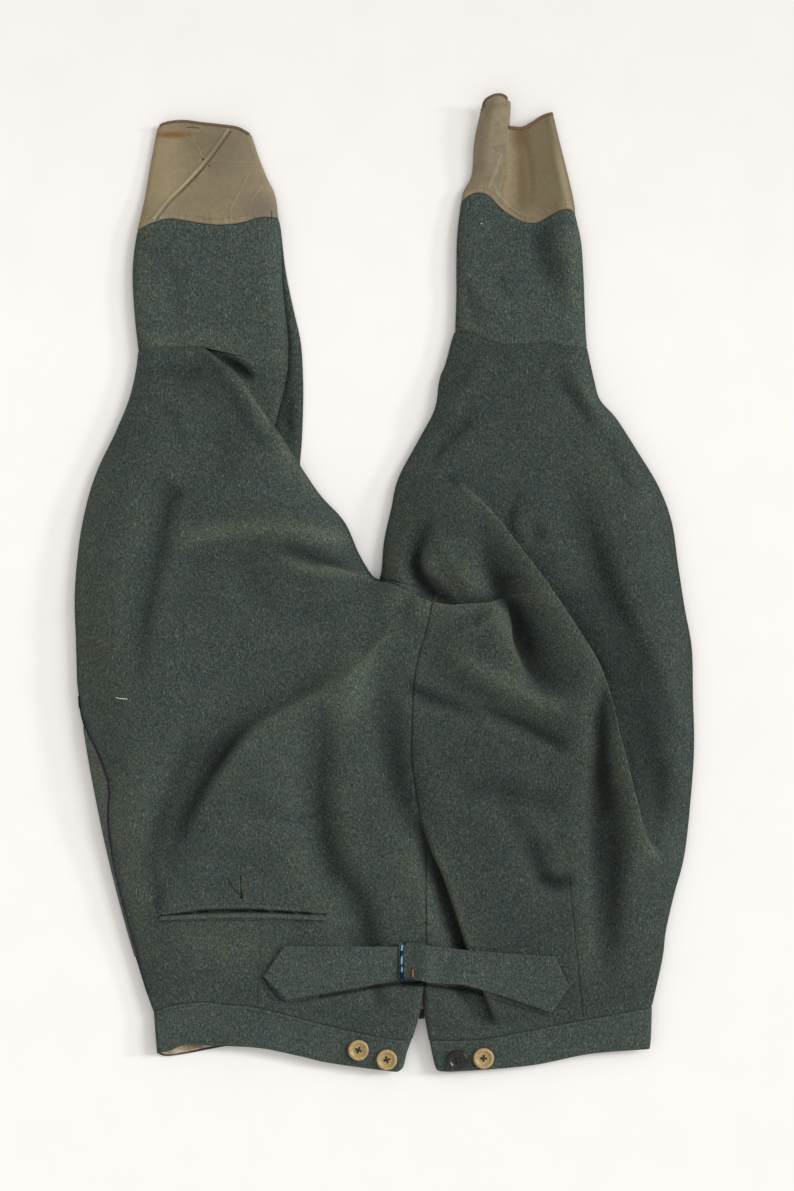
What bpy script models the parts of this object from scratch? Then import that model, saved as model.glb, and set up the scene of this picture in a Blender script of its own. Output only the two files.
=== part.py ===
"""Wool service breeches with linen leg ends, laid flat with the back up.

Every table is in millimetres and MM turns it into metres. The origin is on the surface that the garment
lies on, under its middle. +X is the wearer's left, +Y runs towards the leg ends and +Z is up. Left and
right in the names are the wearer's.

The lower layer is the front of the garment, flat on the surface. The upper layer is the back, whose
outer face is one height field: a turned edge, the loft of the tube and a table of folds. Each upper
piece is cut from that field between four sides, and its wall is measured straight down, so that two
pieces that share a seam never cross.
"""
import math
from collections import namedtuple

import bmesh
import bpy
import numpy as np
from mathutils import Matrix, Vector

MM = 0.001

# Walls and gaps
WOOL_WALL = 2.0
LINEN_WALL = 1.0
BAND_WALL = 3.0
FRONT_BAND_WALL = 2.0
LINING_WALL = 0.8
STRAP_WALL = 2.4
WELT_WALL = 0.8
GAP = 0.3

# How the upper layer turns down and rises at a free edge
ROLL_HEIGHT = 2.5
ROLL_RUN = 4.0
PUFF_RUN = 18.0
LOFT_RUN = 52.0
FOLD_FADE = 14.0

# Height of the upper face along the garment: its level at a free edge, the puff of a narrow tube and
# the loft of the ballooned thigh and seat
Level = namedtuple("Level", "y edge puff loft")
LEVELS = [
    Level(420, 2.3, 0.6, 0.0),
    Level(385, 2.3, 1.0, 0.0),
    Level(345, 2.4, 2.0, 0.0),
    Level(305, 4.3, 3.6, 0.0),
    Level(250, 4.3, 4.6, 0.0),
    Level(200, 4.3, 5.0, 0.0),
    Level(150, 4.3, 4.6, 5.5),
    Level(100, 4.3, 2.0, 12.0),
    Level(50, 4.3, 0.4, 16.5),
    Level(0, 4.3, 0.0, 18.5),
    Level(-100, 4.3, 0.0, 19.5),
    Level(-200, 4.3, 0.0, 18.0),
    Level(-300, 4.4, 0.0, 12.0),
    Level(-345, 5.4, 0.0, 6.5),
    Level(-385, 6.5, 0.0, 2.0),
    Level(-425, 6.5, 0.0, 0.0),
]

# Plan lines of the edges and seams, from the leg end to the waist or from the wearer's right to left
LINES = {
    "right_hem": [(-193, 387), (-187, 391), (-172, 393), (-154, 391), (-136, 389), (-124, 387), (-113, 381)],
    "right_cuff_outer": [(-193, 387), (-199, 356), (-204, 326), (-210, 299)],
    "right_cuff_inner": [(-113, 381), (-107, 363), (-100, 345), (-93, 330), (-90, 310)],
    "right_cuff_seam": [(-210, 299), (-198, 305), (-183, 309), (-168, 307), (-148, 304), (-133, 304),
                        (-119, 306), (-106, 310), (-90, 310)],
    "right_calf_outer": [(-210, 299), (-213, 279), (-214, 257), (-212, 225), (-209, 198)],
    "right_calf_inner": [(-90, 310), (-88, 290), (-87, 257), (-85, 236), (-82, 208), (-82, 185)],
    "right_calf_under": [(-90, 310), (-88, 300), (-84, 266), (-78, 236), (-72, 210), (-70, 194)],
    "right_knee_outer": [(-209, 198), (-174, 200), (-152, 200)],
    "right_knee_inner": [(-152, 200), (-145, 198), (-109, 190), (-82, 185)],
    "right_thigh_outer": [(-209, 198), (-211, 181), (-217, 156), (-229, 127), (-243, 98), (-252, 71),
                          (-259, 36), (-263, -9), (-262, -48), (-261, -84)],
    "right_seat_outer": [(-261, -84), (-257, -115), (-249, -163), (-236, -227), (-221, -286),
                         (-206, -337), (-196, -366)],
    "right_piping": [(-261, -84), (-258, -108), (-253, -123), (-241, -147), (-233, -172), (-234, -202),
                     (-229, -240), (-220, -277), (-213, -302), (-206, -330), (-196, -363)],
    "right_fold_edge": [(-152, 200), (-139, 188), (-124, 176), (-107, 151), (-88, 125), (-72, 100),
                        (-55, 75), (-39, 58), (-31, 46), (-22, 25), (-11, 7), (-4, 3)],
    "right_knee_under": [(-70, 194), (-69, 164), (-70, 126), (-72, 100)],
    "knee_fold_outer": [(-151, 199.4), (-145, 183), (-131, 170), (-114, 145), (-104, 127)],
    "knee_fold_inner": [(-82, 185), (-85, 167), (-89, 151), (-94, 133), (-98, 123)],
    "crotch_lap": [(-4, 3), (8, 1.5), (25, -3), (41, -9)],
    "centre_back": [(41, -9), (38, -20), (34, -43), (28, -67), (25, -88), (23, -130), (23, -151),
                    (28, -186), (33, -229), (35, -286), (34, -337)],
    "notch_right": [(34, -337), (30, -361), (28, -370), (23, -387)],
    "notch_left": [(34, -337), (34.4, -361), (35, -370), (38, -387)],
    "band_notch_right": [(23, -387), (19, -398), (16, -410), (12, -414)],
    "band_notch_left": [(38, -387), (40, -397), (43, -410), (46, -414)],
    "right_waist_seam": [(-196, -363), (-179, -357), (-165, -355), (-151, -354), (-136, -356),
                         (-121, -357), (-108, -359), (-72, -368), (-46, -375), (0, -385), (23, -387)],
    "right_waist_edge": [(-193, -399), (-181, -396), (-172, -392), (-162, -391), (-146, -392),
                         (-107, -394), (-72, -401), (-46, -407), (5, -414), (12, -414)],
    "right_band_side": [(-196, -363), (-194, -386), (-193, -399)],
    "left_waist_seam": [(38, -387), (68, -387), (90, -385), (141, -375), (183, -367), (227, -359)],
    "left_waist_edge": [(46, -414), (64, -414), (124, -409), (175, -399), (225, -395)],
    "left_band_side": [(227, -359), (226, -385), (225, -395)],
    "front_edge_right": [(-193, -400), (-185, -402), (-169, -400), (-153, -397), (-137, -394),
                         (-60, -380), (34, -370)],
    "front_edge_left": [(34, -370), (120, -378), (224, -394)],
    "front_seam_right": [(-196, -366), (-140, -360), (-60, -345), (34, -336)],
    "front_seam_left": [(34, -336), (120, -342), (226, -361)],
    "left_tab_hem": [(83, 404), (84, 408), (87, 411), (95, 414), (102, 413), (106, 408)],
    "left_tab_end": [(106, 408), (106, 402), (105, 387)],
    "left_tab_side": [(105, 387), (104, 366), (103, 342), (100, 316)],
    "left_cuff_hem": [(105, 387), (117, 387), (125, 391), (134, 397), (143, 400)],
    "left_cuff_inner": [(83, 404), (79, 389), (76, 372), (74, 347), (67, 333), (65, 324)],
    "left_cuff_outer": [(143, 400), (149, 375), (156, 347), (161, 324), (162, 313)],
    "left_cuff_seam_tab": [(65, 324), (72, 329), (79, 331), (87, 329), (94, 322), (100, 316)],
    "left_cuff_seam_back": [(100, 316), (106, 312), (115, 307), (122, 305.5), (130, 306), (141, 312),
                            (149, 316), (157, 317), (162, 313)],
    "left_calf_inner": [(65, 324), (62, 300), (61, 279), (61, 247), (60, 214)],
    "left_calf_outer": [(162, 313), (167, 290), (169, 262), (170, 236), (171, 212), (172, 200)],
    "left_knee_seam": [(60, 214), (76, 212), (89, 206), (107, 202), (135, 204), (152, 201), (172, 200)],
    "left_thigh_inner": [(60, 214), (57, 205), (52, 186), (47, 173), (43, 148), (30, 123), (12, 89), (6, 63),
                         (0, 36), (-2, 12), (-4, 3)],
    "left_thigh_outer": [(172, 200), (178, 173), (183, 156), (197, 140), (215, 112), (233, 82),
                         (244, 52), (249, 18), (255, -21), (261, -55), (262, -96), (263, -135),
                         (261, -172), (255, -229), (246, -264), (239, -295), (236, -319), (227, -359)],
    "front_centre": [(-4, 3), (30, -120), (34, -336)],
    "front_band_end": [(-193, -400), (-196, -366)],
    "front_band_centre": [(34, -336), (34, -370)],
    "front_band_left_end": [(226, -361), (224, -394)],
    "right_fold_lower": [(-72, 100), (-55, 75), (-39, 58), (-31, 46), (-22, 25), (-11, 7), (-4, 3)],
    "right_knee_front": [(-209, 198), (-140, 196), (-70, 194)],
    "left_knee_front": [(60, 214), (115, 207), (172, 200)],
    "right_cuff_front": [(-210, 299), (-150, 305), (-90, 310)],
    "left_cuff_front": [(65, 324), (115, 318), (162, 313)],
    "right_hem_front": [(-192, 383), (-172, 388), (-150, 387), (-128, 384), (-115, 379)],
    "left_hem_front": [(81, 392), (95, 384), (117, 384), (134, 391), (144, 396)],
    "right_cuff_outer_front": [(-192, 383), (-199, 356), (-204, 326), (-210, 299)],
    "right_cuff_inner_front": [(-115, 379), (-107, 363), (-100, 345), (-93, 330), (-90, 310)],
    "left_cuff_inner_front": [(81, 392), (76, 372), (74, 347), (67, 333), (65, 324)],
    "left_cuff_outer_front": [(144, 396), (149, 375), (156, 347), (161, 324), (162, 313)],
}

# The cinch: the straight edges and the shaped outer end of each half
STRAP_MEET_RIGHT = 11
STRAP_MEET_LEFT = 12
CINCH = {
    "right_top": [(-85, -306), (-50, -306.5), (-20, -306.5), (STRAP_MEET_RIGHT, -306.5)],
    "right_low": [(-83, -352), (-55, -347), (-15, -340), (STRAP_MEET_RIGHT, -335)],
    "right_tip": [(-85, -306), (-102, -332), (-83, -352)],
    "right_meet": [(STRAP_MEET_RIGHT, -306.5), (STRAP_MEET_RIGHT, -321), (STRAP_MEET_RIGHT, -335)],
    "left_meet": [(STRAP_MEET_LEFT, -306.5), (STRAP_MEET_LEFT, -321), (STRAP_MEET_LEFT, -333.8)],
    "left_top": [(STRAP_MEET_LEFT, -306.5), (40, -308), (64, -310), (105, -313), (145, -316)],
    "left_low": [(STRAP_MEET_LEFT, -333.8), (31, -335), (37, -337.6), (47, -339), (67, -341), (92, -349),
                 (116, -357), (142, -366)],
    "left_tip": [(145, -316), (157, -343), (142, -366)],
}

# Folds of the upper layer. The line's points give x, y and crest height, below zero for a valley, and
# left and right are the distances over which it dies away on either side of that line
Fold = namedtuple("Fold", "name left right line")
FOLDS = [
    Fold("right seat diagonal", 60, 13,
         [(10, -40, 0), (-25, -67, 5), (-60, -90, 8), (-96, -110, 9), (-130, -150, 9.5),
          (-164, -201, 8), (-182, -221, 5), (-200, -250, 0)]),
    Fold("right seat valley", 15, 15,
         [(-60, -105, 0), (-51, -152, -4), (-50, -187, -6), (-46, -221, -6), (-34, -244, -6.5),
          (-17, -273, -6), (-8, -308, -4), (-4, -330, 0)]),
    Fold("valley right of the centre seam", 13, 12,
         [(2, -84, 0), (7, -126, -4.5), (11, -161, -5.5), (19, -187, -5), (28, -205, 0)]),
    Fold("deep crease left of the centre seam", 16, 10,
         [(24, -178, 0), (31, -196, -4), (40, -221, -7), (50, -255, -10), (60, -278, -11),
          (66, -307, -10), (73, -340, -6), (86, -371, 0)]),
    Fold("left thigh diagonal ridge", 12, 34,
         [(52, 104, 0), (64, 91, 3), (87, 69, 7), (110, 39, 11), (142, -5, 12), (170, -45, 12),
          (188, -78, 11), (204, -121, 10), (216, -170, 8), (224, -200, 4), (234, -230, 0)]),
    Fold("left thigh deep valley", 13, 15,
         [(92, 26, 0), (97, 12, -5), (108, -17, -7), (119, -40, -8), (128, -62, -8), (141, -81, -6),
          (154, -100, 0)]),
    Fold("left seat long valley", 13, 13,
         [(176, -80, 0), (182, -126, -4), (185, -151, -5), (192, -183, -6.5), (193, -224, -6),
          (196, -246, -5), (194, -300, 0)]),
    Fold("left seat bright band", 12, 12,
         [(48, -72, 0), (60, -79, 3), (91, -91, 5), (128, -100, 4), (142, -104, 0)]),
    Fold("left seat cross valley", 12, 14,
         [(28, -92, 0), (60, -101, -3), (100, -113, -5), (121, -127, -5), (149, -137, -3),
          (165, -140, 0)]),
    Fold("left seat hollow", 26, 26, [(85, -184, 0), (106, -184, -3), (128, -186, 0)]),
    Fold("crotch valley", 8, 9,
         [(38, 66, 0), (37, 52, -3), (33, 36, -4), (30, 16, -4), (41, -4, -3), (52, -8, 0)]),
    Fold("seat fold over the left thigh", 5, 42,
         [(-60, 15, 0), (-46, 12, 2), (-24, 7, 5), (-11, 3, 6), (7, -1, 8), (23, -8, 9), (39, -15, 10),
          (60, -18, 10), (74, -15, 9.5), (90, -15, 9), (101, -19, 8), (108, -28, 6), (111, -40, 3),
          (111, -56, 0)]),
    Fold("right thigh soft valley", 24, 24,
         [(-168, 104, 0), (-174, 82, -4), (-183, 53, -5), (-187, 18, -5), (-204, -17, -4),
          (-214, -50, 0)]),
    Fold("right thigh cross ridge", 11, 11, [(-136, 49, 0), (-120, 48, 3), (-80, 44, 4), (-36, 40, 0)]),
    Fold("right thigh cross hollow", 10, 10, [(-104, 31, 0), (-86, 30, -3), (-60, 29, -3), (-40, 28, 0)]),
    Fold("right thigh lower ridge", 10, 10, [(-98, 23, 0), (-82, 20, 4), (-56, 15, 4), (-30, 9, 0)]),
    Fold("left thigh soft valley", 18, 18, [(174, 84, 0), (178, 59, -3.5), (185, 18, -4), (197, -10, 0)]),
    Fold("left dart hollow", 14, 14, [(118, -226, 0), (134, -238, -4), (157, -254, -5), (166, -268, 0)]),
    Fold("left knee inner crease", 7, 30,
         [(82, 198, 0), (72, 184, 2.5), (60, 168, 3.5), (46, 148, 3), (32, 126, 0)]),
    Fold("left knee outer crease", 30, 7,
         [(146, 196, 0), (154, 186, 2.5), (167, 173, 3.5), (180, 157, 3), (200, 132, 0)]),
    Fold("left leg end curl", 15, 15,
         [(95, 424, 11), (92, 400, 11), (91, 370, 8), (88, 345, 4), (84, 318, 0)]),
    Fold("left leg end outer edge", 7, 7,
         [(140, 404, 3), (144, 380, 4), (150, 350, 4), (154, 328, 3), (154, 305, 0)]),
]

# Where the diagonal fold lies on the cloth folded under it, the upper layer is lifted by one wall
LAPS = [
    Fold("lap over the knee fold", 26, 26,
         [(-150, 194, 0), (-140, 186, 2.4), (-107, 151, 3.8), (-88, 125, 4.2), (-78, 110, 3),
          (-62, 88, 0)]),
]

# Brace buttons: place and finish
BUTTONS = [
    ("brace_button_1", -22, -395, "horn_tan"),
    ("brace_button_2", 2, -403.2, "horn_tan"),
    ("brace_button_3", 62, -403.8, "horn_black"),
    ("brace_button_4", 84, -402, "horn_tan"),
]
BUTTON_DIAMETER = 17.4
BUTTON_THICKNESS = 2.8
BUTTON_HOLE_DIAMETER = 1.9
BUTTON_HOLE_PITCH = 4.2
BUTTON_STAND = 0.5
BUTTON_LEAN = 0.5
BUTTON_FACE = 0.52
BUTTON_RIM = [(0.72, 0.90), (0.88, 1.0), (1.0, 0.70), (1.0, 0.30), (0.86, 0.0)]

# The cinch rides over the seat, and arches over the hidden bar of its buckle
STRAP_LIFT = 0.5
STRAP_ARCH = 4.6
STRAP_ARCH_RUN = 10.0
BUCKLE_WIRE = 2.6
BUCKLE_LEFT = 36.0
BUCKLE_RIGHT = 14.6
BUCKLE_TOP = -304.0
BUCKLE_BOTTOM = -337.4
BUCKLE_CORNER = 3.2
PRONG_DIAMETER = 1.6
PRONG = [(24, -325.5), (24, -328.5), (24, -332)]

PIPING_DIAMETER = 2.4

# The welt of the back pocket
WELT_RIGHT = -190
WELT_LEFT = -49
WELT_Y = -281
WELT_BOW = 2.5
WELT_WIDTH = 3.4

# The cloth folded under at the right knee rises to its full puff away from the fold
KNEE_FOLD_PUFF = 5.0
KNEE_FOLD_RUN = 34.0

# Where the side of the right front panel turns up far enough to show beside the piping
SIDE_TOP = -122
SIDE_BOTTOM = -318

WOOL = (0.055, 0.070, 0.063, 1)
LINEN = (0.235, 0.190, 0.120, 1)
MATERIALS = {
    "wool": (WOOL, 0.95, 0.0),
    "linen": (LINEN, 0.9, 0.0),
    "lining": ((0.46, 0.37, 0.26, 1), 0.9, 0.0),
    "piping": ((0.042, 0.014, 0.050, 1), 0.9, 0.0),
    "blued_steel": ((0.02, 0.05, 0.16, 1), 0.3, 1.0),
    "copper_prong": ((0.55, 0.25, 0.13, 1), 0.35, 1.0),
    "horn_tan": ((0.43, 0.32, 0.11, 1), 0.4, 0.0),
    "horn_black": ((0.015, 0.015, 0.013, 1), 0.4, 0.0),
}


# Lines and shapes in plan

def smooth_line(points, per_span=8):
    """A smooth curve through the points, run straight on at both ends."""
    knots = np.array(points, float)
    if len(knots) == 2:
        return knots
    knots = np.vstack([2 * knots[0] - knots[1], knots, 2 * knots[-1] - knots[-2]])
    t = np.linspace(0, 1, per_span, endpoint=False)[:, None]
    spans = []
    for before, start, end, after in zip(knots[:-3], knots[1:-2], knots[2:-1], knots[3:]):
        square = 2 * before - 5 * start + 4 * end - after
        cube = 3 * (start - end) + after - before
        spans.append(0.5 * (2 * start + (end - before) * t + square * t ** 2 + cube * t ** 3))
    return np.vstack([*spans, knots[-2]])


def lengths_along(line):
    """Length from the start of a line to each of its points."""
    steps = np.linalg.norm(np.diff(line[:, :2], axis=0), axis=1)
    return np.concatenate([[0], np.cumsum(steps)])


def spread(name, where):
    """Points on a named line at fractions of its length; a whole number asks for that many even cells."""
    fractions = np.linspace(0, 1, where + 1) if isinstance(where, int) else np.asarray(where)
    line = smooth_line(LINES[name])
    run = lengths_along(line)
    at = fractions * run[-1]
    return np.column_stack([np.interp(at, run, line[:, k]) for k in (0, 1)])


def joined(*runs):
    """One run of points from several that meet end to end."""
    return np.vstack([runs[0]] + [run[1:] for run in runs[1:]])


def fractions_of(points, weights=None):
    """Each point's share of the whole length, where some stretches may count for less."""
    steps = np.linalg.norm(np.diff(points, axis=0), axis=1)
    if weights is not None:
        steps = steps * weights
    return np.concatenate([[0], np.cumsum(steps)]) / steps.sum()


def closer_at_ends(cells, start=2, end=2):
    """Even fractions with up to two closer steps at a free edge, where the cloth turns down."""
    step = 1 / cells
    closer = [0.16 * step, 0.46 * step]
    parts = list(np.linspace(0, 1, cells + 1))
    parts += closer[2 - start:]
    parts += [1 - share for share in closer[2 - end:]]
    return np.array(sorted(parts))


def patch(first, last, right, left):
    """Plan points of a piece between its four sides: rows run from the first side to the last."""
    across = fractions_of(first)[None, :, None]
    along = fractions_of(right)[:, None, None]
    ruled = right[:, None] * (1 - across) + left[:, None] * across
    bend_first = first - (first[0] * (1 - across[0]) + first[-1] * across[0])
    bend_last = last - (last[0] * (1 - across[0]) + last[-1] * across[0])
    return ruled + bend_first[None] * (1 - along) + bend_last[None] * along


def inset(grid, first=0.0, last=0.0, right=0.0, left=0.0):
    """Draw the sides of a grid in by half a seam gap, square to each side."""
    out = grid.copy()
    sides = [(np.s_[0], np.s_[1], first), (np.s_[-1], np.s_[-2], last),
             (np.s_[:, 0], np.s_[:, 1], right), (np.s_[:, -1], np.s_[:, -2], left)]
    for side, towards, amount in sides:
        along = np.gradient(grid[side], axis=0)
        square = np.column_stack([-along[:, 1], along[:, 0]])
        square /= np.linalg.norm(square, axis=1)[:, None]
        inward = np.sign(np.sum(square * (grid[towards] - grid[side])))
        out[side] += square * inward * amount
    return out


# The height of the cloth

def nearest(line, x, y):
    """Distance in plan from each point to a line, the side it is on, and the line's last value there."""
    best = np.full(x.shape, np.inf)
    side = np.ones(x.shape)
    value = np.zeros(x.shape)
    for start, end in zip(line[:-1], line[1:]):
        dx, dy = end[0] - start[0], end[1] - start[1]
        t = np.clip(((x - start[0]) * dx + (y - start[1]) * dy) / (dx * dx + dy * dy + 1e-9), 0, 1)
        gap = np.hypot(x - start[0] - t * dx, y - start[1] - t * dy)
        near = gap < best
        best = np.where(near, gap, best)
        side = np.where(near, dx * (y - start[1]) - dy * (x - start[0]), side)
        value = np.where(near, start[-1] + t * (end[-1] - start[-1]), value)
    return best, side, value


def distance_to(names, x, y):
    """Distance in plan from each point to the nearest of the named lines."""
    return np.min([nearest(smooth_line(LINES[name], 4), x, y)[0] for name in names], axis=0)


def fold_height(fold, x, y):
    """Height that one fold adds: its crest height at the nearest place, dying away on either side."""
    gap, side, crest = nearest(smooth_line(fold.line, 4), x, y)
    reach = np.where(side > 0, fold.left, fold.right)
    return crest * np.exp(-(gap / reach) ** 2)


def ease(t):
    """Rise from 0 to 1 that starts at a slope and ends level."""
    return 1 - (1 - np.clip(t, 0, 1)) ** 2.2


def level_at(y, column):
    """One column of the level table, read as a smooth curve at each y."""
    knots = np.array([(level.y, getattr(level, column)) for level in LEVELS], float)
    line = smooth_line(knots, 10)[::-1]
    return np.interp(y, line[:, 0], line[:, 1])


BOTH_OUTER = ["right_thigh_outer", "right_seat_outer", "left_thigh_outer"]
LEG_EDGES = ["right_cuff_outer", "right_calf_outer", "right_cuff_inner", "right_calf_inner",
             "left_cuff_inner", "left_cuff_outer", "left_calf_inner", "left_calf_outer"]
UPPER_EDGES = BOTH_OUTER + ["right_fold_edge", "left_thigh_inner"]
TUBE_EDGES = BOTH_OUTER + LEG_EDGES + ["knee_fold_inner", "left_thigh_inner", "right_fold_lower"]
WAIST_EDGES = ["notch_right", "notch_left", "band_notch_right", "band_notch_left", "right_waist_edge",
               "left_waist_edge", "right_band_side", "left_band_side"]


def roll(gap):
    """The tight turn at a free edge."""
    return ROLL_HEIGHT * np.sqrt(1 - (1 - np.clip(gap / ROLL_RUN, 0, 1)) ** 2)


def thigh_height(x, y, folds=FOLDS):
    """Outer face of the seat, thighs and back waistband."""
    gap = distance_to(UPPER_EDGES, x, y)
    rim = np.minimum(gap, distance_to(WAIST_EDGES, x, y))
    tube_gap = distance_to(TUBE_EDGES, x, y)
    edge = level_at(y, "edge")
    height = edge + roll(rim) + level_at(y, "puff") * ease(tube_gap / PUFF_RUN)
    height = height + level_at(y, "loft") * ease(gap / LOFT_RUN)
    for lap in LAPS:
        height = height + fold_height(lap, x, y)
    for fold in folds:
        height = height + fold_height(fold, x, y) * ease(gap / FOLD_FADE)
    return np.maximum(height, edge)


def leg_height(x, y):
    """Outer face of the lower legs and leg ends."""
    gap = distance_to(LEG_EDGES, x, y)
    edge = level_at(y, "edge")
    height = edge + roll(gap) + level_at(y, "puff") * ease(gap / PUFF_RUN)
    for fold in FOLDS:
        height = height + fold_height(fold, x, y) * ease(gap / FOLD_FADE)
    return np.maximum(height, edge)


def knee_fold_height(x, y):
    """Outer face of the cloth folded under the diagonal fold, lowest where it runs in under it."""
    gap = distance_to(["knee_fold_inner"], x, y)
    from_fold, side, _ = nearest(smooth_line(LINES["right_fold_edge"], 4), x, y)
    rise = np.clip(np.where(side > 0, from_fold, 0) / KNEE_FOLD_RUN, 0, 1)
    puff = KNEE_FOLD_PUFF * ease(gap / PUFF_RUN) * rise * rise * (3 - 2 * rise)
    return level_at(y, "edge") + roll(gap) * 0.8 + puff


def strap_height(x, y):
    """The cinch bridges the valleys and rides over everything that stands up."""
    ridges = [fold for fold in FOLDS if max(point[2] for point in fold.line) > 0]
    arch = STRAP_ARCH * np.exp(-((x - BUCKLE_LEFT) / STRAP_ARCH_RUN) ** 2)
    return thigh_height(x, y, ridges) + GAP + STRAP_LIFT + STRAP_WALL + arch


# Objects

def material(name):
    """The named finish, made once."""
    if name in bpy.data.materials:
        return bpy.data.materials[name]
    colour, roughness, metallic = MATERIALS[name]
    made = bpy.data.materials.new(name)
    made.use_nodes = True
    made.diffuse_color = colour
    shader = made.node_tree.nodes["Principled BSDF"]
    shader.inputs["Base Color"].default_value = colour
    shader.inputs["Roughness"].default_value = roughness
    shader.inputs["Metallic"].default_value = metallic
    return made


def add_object(name, mesh, finish, collection):
    """An object for a mesh or curve in metres, with its finish."""
    thing = bpy.data.objects.new(name, mesh)
    mesh.materials.append(material(finish))
    collection.objects.link(thing)
    return thing


def wall_between(name, outer, inner, finish, collection):
    """A closed wall lofted between two grids of points that share rows and columns."""
    rows, columns = outer.shape[:2]
    top = np.arange(rows * columns).reshape(rows, columns)
    low = top + rows * columns
    faces = []
    for i in range(rows - 1):
        for j in range(columns - 1):
            faces.append((top[i, j], top[i + 1, j], top[i + 1, j + 1], top[i, j + 1]))
            faces.append((low[i, j], low[i, j + 1], low[i + 1, j + 1], low[i + 1, j]))
    rim = [(0, j) for j in range(columns - 1)] + [(i, columns - 1) for i in range(rows - 1)]
    rim += [(rows - 1, j) for j in range(columns - 1, 0, -1)] + [(i, 0) for i in range(rows - 1, 0, -1)]
    for here, after in zip(rim, rim[1:] + rim[:1]):
        faces.append((top[here], top[after], low[after], low[here]))
    points = np.concatenate([outer.reshape(-1, 3), inner.reshape(-1, 3)]) * MM
    mesh = bpy.data.meshes.new(name)
    mesh.from_pydata([tuple(point) for point in points], [], [tuple(map(int, face)) for face in faces])
    mesh.update()
    thing = add_object(name, mesh, finish, collection)
    thing.data.shade_smooth()
    thing.data.set_sharp_from_angle(angle=math.radians(50))
    return thing


def cloth(name, grid, height, wall, finish, collection):
    """A piece of the upper layer: its outer face on the height field, its wall measured straight down."""
    z = height(grid[..., 0], grid[..., 1])
    outer = np.dstack([grid, z])
    inner = np.dstack([grid, z - wall])
    return wall_between(name, outer, inner, finish, collection)


def flat_piece(name, outline, bottom, wall, finish, collection):
    """A piece that lies flat: a filled outline with the thickness of its cloth."""
    curve = bpy.data.curves.new(name, "CURVE")
    curve.dimensions = "2D"
    curve.fill_mode = "BOTH"
    curve.extrude = wall / 2 * MM
    spline = curve.splines.new("POLY")
    spline.points.add(len(outline) - 1)
    for point, (x, y) in zip(spline.points, outline):
        point.co = (x * MM, y * MM, 0, 1)
    spline.use_cyclic_u = True
    thing = add_object(name, curve, finish, collection)
    thing.location.z = (bottom + wall / 2) * MM
    return thing


def tube(name, points, diameter, finish, collection, closed=False, sides=2):
    """A round wire or cord along a run of points."""
    curve = bpy.data.curves.new(name, "CURVE")
    curve.dimensions = "3D"
    curve.bevel_depth = diameter / 2 * MM
    curve.bevel_resolution = sides
    curve.use_fill_caps = not closed
    spline = curve.splines.new("POLY")
    spline.points.add(len(points) - 1)
    for place, point in zip(spline.points, points):
        place.co = (*(np.array(point) * MM), 1)
    spline.use_cyclic_u = closed
    return add_object(name, curve, finish, collection)


# The pieces

def make_legs(collection):
    """Lower legs and leg ends, upper layer."""
    half = GAP / 2
    knee = joined(spread("right_knee_outer", 5), spread("right_knee_inner", 6))
    shares = fractions_of(knee)
    calf = patch(spread("right_cuff_seam", shares), knee,
                 spread("right_calf_outer", 8), spread("right_calf_inner", 8))
    cloth("calf_back_right", inset(calf, first=half, last=half), leg_height, WOOL_WALL, "wool", collection)
    cuff = patch(spread("right_hem", shares), spread("right_cuff_seam", shares),
                 spread("right_cuff_outer", 7), spread("right_cuff_inner", 7))
    cloth("cuff_back_right", inset(cuff, last=half), leg_height, LINEN_WALL, "linen", collection)

    seam = joined(spread("left_cuff_seam_tab", 6), spread("left_cuff_seam_back", 9))
    shares = fractions_of(seam)
    calf = patch(seam, spread("left_knee_seam", shares),
                 spread("left_calf_inner", 9), spread("left_calf_outer", 9))
    cloth("calf_back_left", inset(calf, first=half, last=half), leg_height, WOOL_WALL, "wool", collection)
    tab_side = joined(spread("left_tab_end", 2), spread("left_tab_side", 6))
    tab = patch(spread("left_tab_hem", 6), spread("left_cuff_seam_tab", 6),
                spread("left_cuff_inner", fractions_of(tab_side)), tab_side)
    cloth("cuff_tab_left", inset(tab, last=half, left=half), leg_height, LINEN_WALL, "linen", collection)
    back = patch(spread("left_cuff_hem", 9), spread("left_cuff_seam_back", 9),
                 spread("left_tab_side", 6), spread("left_cuff_outer", 6))
    cloth("cuff_back_left", inset(back, last=half, right=half), leg_height, LINEN_WALL, "linen", collection)


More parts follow.
